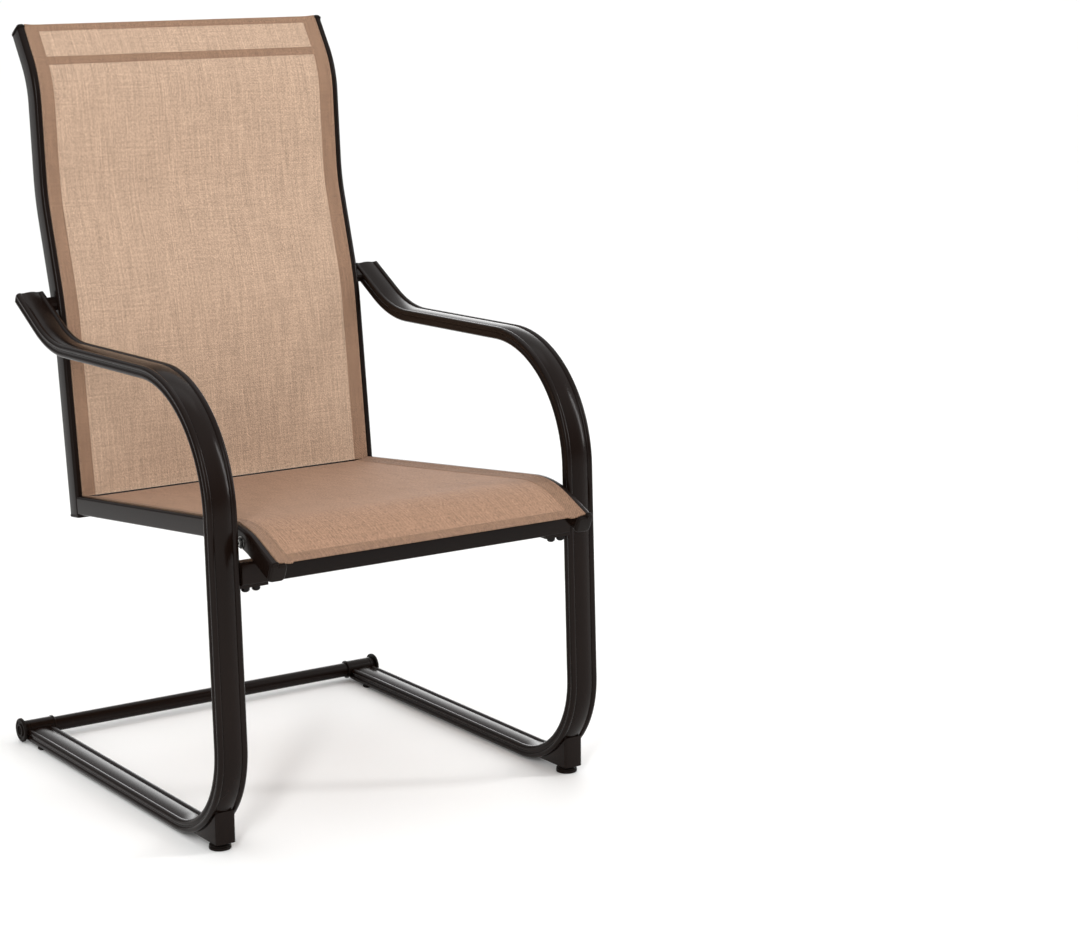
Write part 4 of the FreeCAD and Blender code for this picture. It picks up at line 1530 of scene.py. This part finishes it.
@dataclass
class Studio:
    """Pale floor, white room, soft lights and the camera."""

    azimuth: float = -34.307
    elevation: float = 11.761
    roll: float = -0.362
    place: Place = (-1815.9, -3266.3, 1206.3)
    focal: float = 2678.4
    image_width: float = 1080.0
    sensor: float = 36.0
    sight: float = 400.0
    floor_half: float = 90000.0
    floor_deep: str = "#f6f6f5"
    floor_pale: str = "#f8f8f7"
    floor_mottle: float = 1000 / 3
    floor_detail: float = 2.0
    floor_roughness: float = 0.6
    floor_specular: float = 0.1
    horizon: float = 0.26
    zenith: float = 1.28
    rear_glow: float = 2.6
    glow_edge: float = 0.82
    softboxes: tuple[Softbox, ...] = (
        Softbox("key_softbox", (-2.4, -2.8, 2.0), 0.4, 2.2, 62.0),
        Softbox("side_softbox", (3.0, -1.8, 1.8), 0.35, 2.2, 48.0),
        Softbox("top_softbox", (0.2, 0.4, 3.6), 2.4, 1.2, 8.0),
    )

    def floor(self) -> None:
        """Lays a wide matt floor with a faint mottle."""
        material, tree = new_material("matt_studio_floor")
        place = add_node(tree, "TexCoord").outputs["Object"]
        patches = {"Vector": place, "Scale": per_metre(self.floor_mottle), "Detail": self.floor_detail}
        mottle = add_node(tree, "TexNoise", patches).outputs["Fac"]
        tones = {FACTOR: mottle, DARK: srgb(self.floor_deep), LIGHT: srgb(self.floor_pale)}
        shader = add_node(
            tree,
            "BsdfPrincipled",
            {
                "Base Color": add_node(tree, "Mix", tones, data_type="RGBA").outputs[MIXED],
                "Roughness": self.floor_roughness,
                "Specular IOR Level": self.floor_specular,
            },
        )
        add_node(tree, "OutputMaterial", {"Surface": shader.outputs["BSDF"]})
        signs = np.array([(-1, -1, 0), (1, -1, 0), (1, 1, 0), (-1, 1, 0)])
        floor = make_piece("studio_floor", [(signs * self.floor_half, [[0, 1, 2, 3]])], material)

    def world(self) -> None:
        """Surrounds the chair with white light: dim in front, brighter overhead and behind.

        The strength is a smooth step of the height of a direction plus one of its turn to the rear. The
        camera itself sees plain white.
        """
        world = bpy.data.worlds.new("white_room")
        world.use_nodes = True
        tree = world.node_tree
        tree.nodes.clear()
        way = add_node(tree, "TexCoord").outputs["Generated"]
        height = add_node(tree, "SeparateXYZ", {0: way}).outputs["Z"]
        upwards = {"Value": height, "To Min": self.horizon, "To Max": self.zenith}
        sky = add_node(tree, "MapRange", upwards, interpolation_type="SMOOTHSTEP").outputs["Result"]
        turn = math.radians(self.azimuth)
        behind = {0: way, 1: (-math.sin(turn), math.cos(turn), 0.0)}
        rear = add_node(tree, "VectorMath", behind, operation="DOT_PRODUCT").outputs["Value"]
        rearwards = {"Value": rear, "From Min": self.glow_edge, "To Max": self.rear_glow}
        glow = add_node(tree, "MapRange", rearwards, interpolation_type="SMOOTHSTEP").outputs["Result"]
        total = add_node(tree, "Math", {0: sky, 1: glow}, operation="ADD").outputs[0]
        seen = add_node(tree, "LightPath").outputs["Is Camera Ray"]
        views = {FACTOR: seen, NUMBER_A: total, NUMBER_B: 1.0}
        strength = add_node(tree, "Mix", views, data_type="FLOAT").outputs[MIXED_NUMBER]
        room = add_node(tree, "Background", {"Color": (1.0, 1.0, 1.0, 1.0), "Strength": strength})
        add_node(tree, "OutputWorld", {"Surface": room.outputs["Background"]})
        bpy.context.scene.world = world
        bpy.context.scene.view_settings.view_transform = "Standard"

    def camera(self) -> None:
        """Sets the camera at the viewing angle, built from its back, right and up directions."""
        azimuth, elevation, roll = (math.radians(a) for a in (self.azimuth, self.elevation, self.roll))
        out = math.cos(elevation)
        back = Vector((math.sin(azimuth) * out, -math.cos(azimuth) * out, math.sin(elevation)))
        level = Vector((math.cos(azimuth), math.sin(azimuth), 0.0))
        upright = back.cross(level)
        right = math.cos(roll) * level + math.sin(roll) * upright
        up = math.cos(roll) * upright - math.sin(roll) * level
        lens = bpy.data.cameras.new("photo_camera")
        lens.sensor_width = self.sensor
        lens.sensor_fit = "HORIZONTAL"
        lens.lens = self.focal / self.image_width * self.sensor
        lens.clip_end = self.sight
        holder = bpy.data.objects.new("photo_camera", lens)
        turn = Matrix((right, up, back)).transposed().to_4x4()
        holder.matrix_world = Matrix.Translation(Vector(self.place) * MM) @ turn
        bpy.context.scene.collection.objects.link(holder)
        bpy.context.scene.camera = holder

    def build(self) -> None:
        """Builds floor, room, lights and camera."""
        self.floor()
        self.world()
        for softbox in self.softboxes:
            softbox.hang()
        self.camera()


def main() -> None:
    """Builds the chair's pieces in order."""
    logging.basicConfig(level=logging.INFO, format="%(message)s")
    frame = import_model()
    coat, black = POWDER_COAT.material(), MOULDED_BLACK.material()
    zinc, bolt, thread = ZINC_PLATE.material(), BLACK_BOLT.material(), THREAD.material()
    for side in Side:
        SpringTube(side, coat).build()
        Toe(side, coat, black).build()
        SlingRails(side, coat, black).build()
    FloorBar(coat, black).build()
    SeatBar(coat, bolt, zinc).build()
    Sling(
        name="seat_cloth",
        cloth=SEAT_MESH_PAINTED_SHADE.material(),
        thread=thread,
        line=seat_cloth_line(),
        facing=Facing.AGAINST,
        sag=4.0,
        cross_bands=((-1.0, 18.0),),
        edge_rise=3.4,
        notch=2.6,
    ).build("seat_sling", both_sides("seat_frame"))
    over_cap = 5.0
    Sling(
        name="back_cloth",
        cloth=BACK_MESH_PAINTED_BACKLIGHT.material(),
        thread=thread,
        line=back_cloth_line(over_cap),
        facing=Facing.ALONG,
        sag=2.0,
        cross_bands=((-1.0, 11.0), (53.0, 66.0)),
        edge_rise=2.4,
        over_cap=over_cap,
    ).build("back_sling", both_sides("back_frame"))
    for kept in (
        KeptSolids(both_sides("crossbar_tab", "arm_lug", "seat_ear"), coat, Slot.COAT, edge=0.6),
        KeptSolids(both_sides("arm_end_plug", "back_bottom_plug"), black, Slot.PLASTIC, edge=1.6),
        KeptSolids(both_sides("back_spline", "seat_spline"), black, Slot.PLASTIC),
        KeptSolids(["lower_spreader", "upper_spreader"], coat, Slot.COAT),
        KeptSolids(["runner_glides"], black, Slot.PLASTIC),
        KeptSolids(["arm_lug_bolts"], zinc, Slot.ZINC),
    ):
        kept.dress(frame["nodes"])
    Studio().build()


if __name__ == "__main__":
    main()
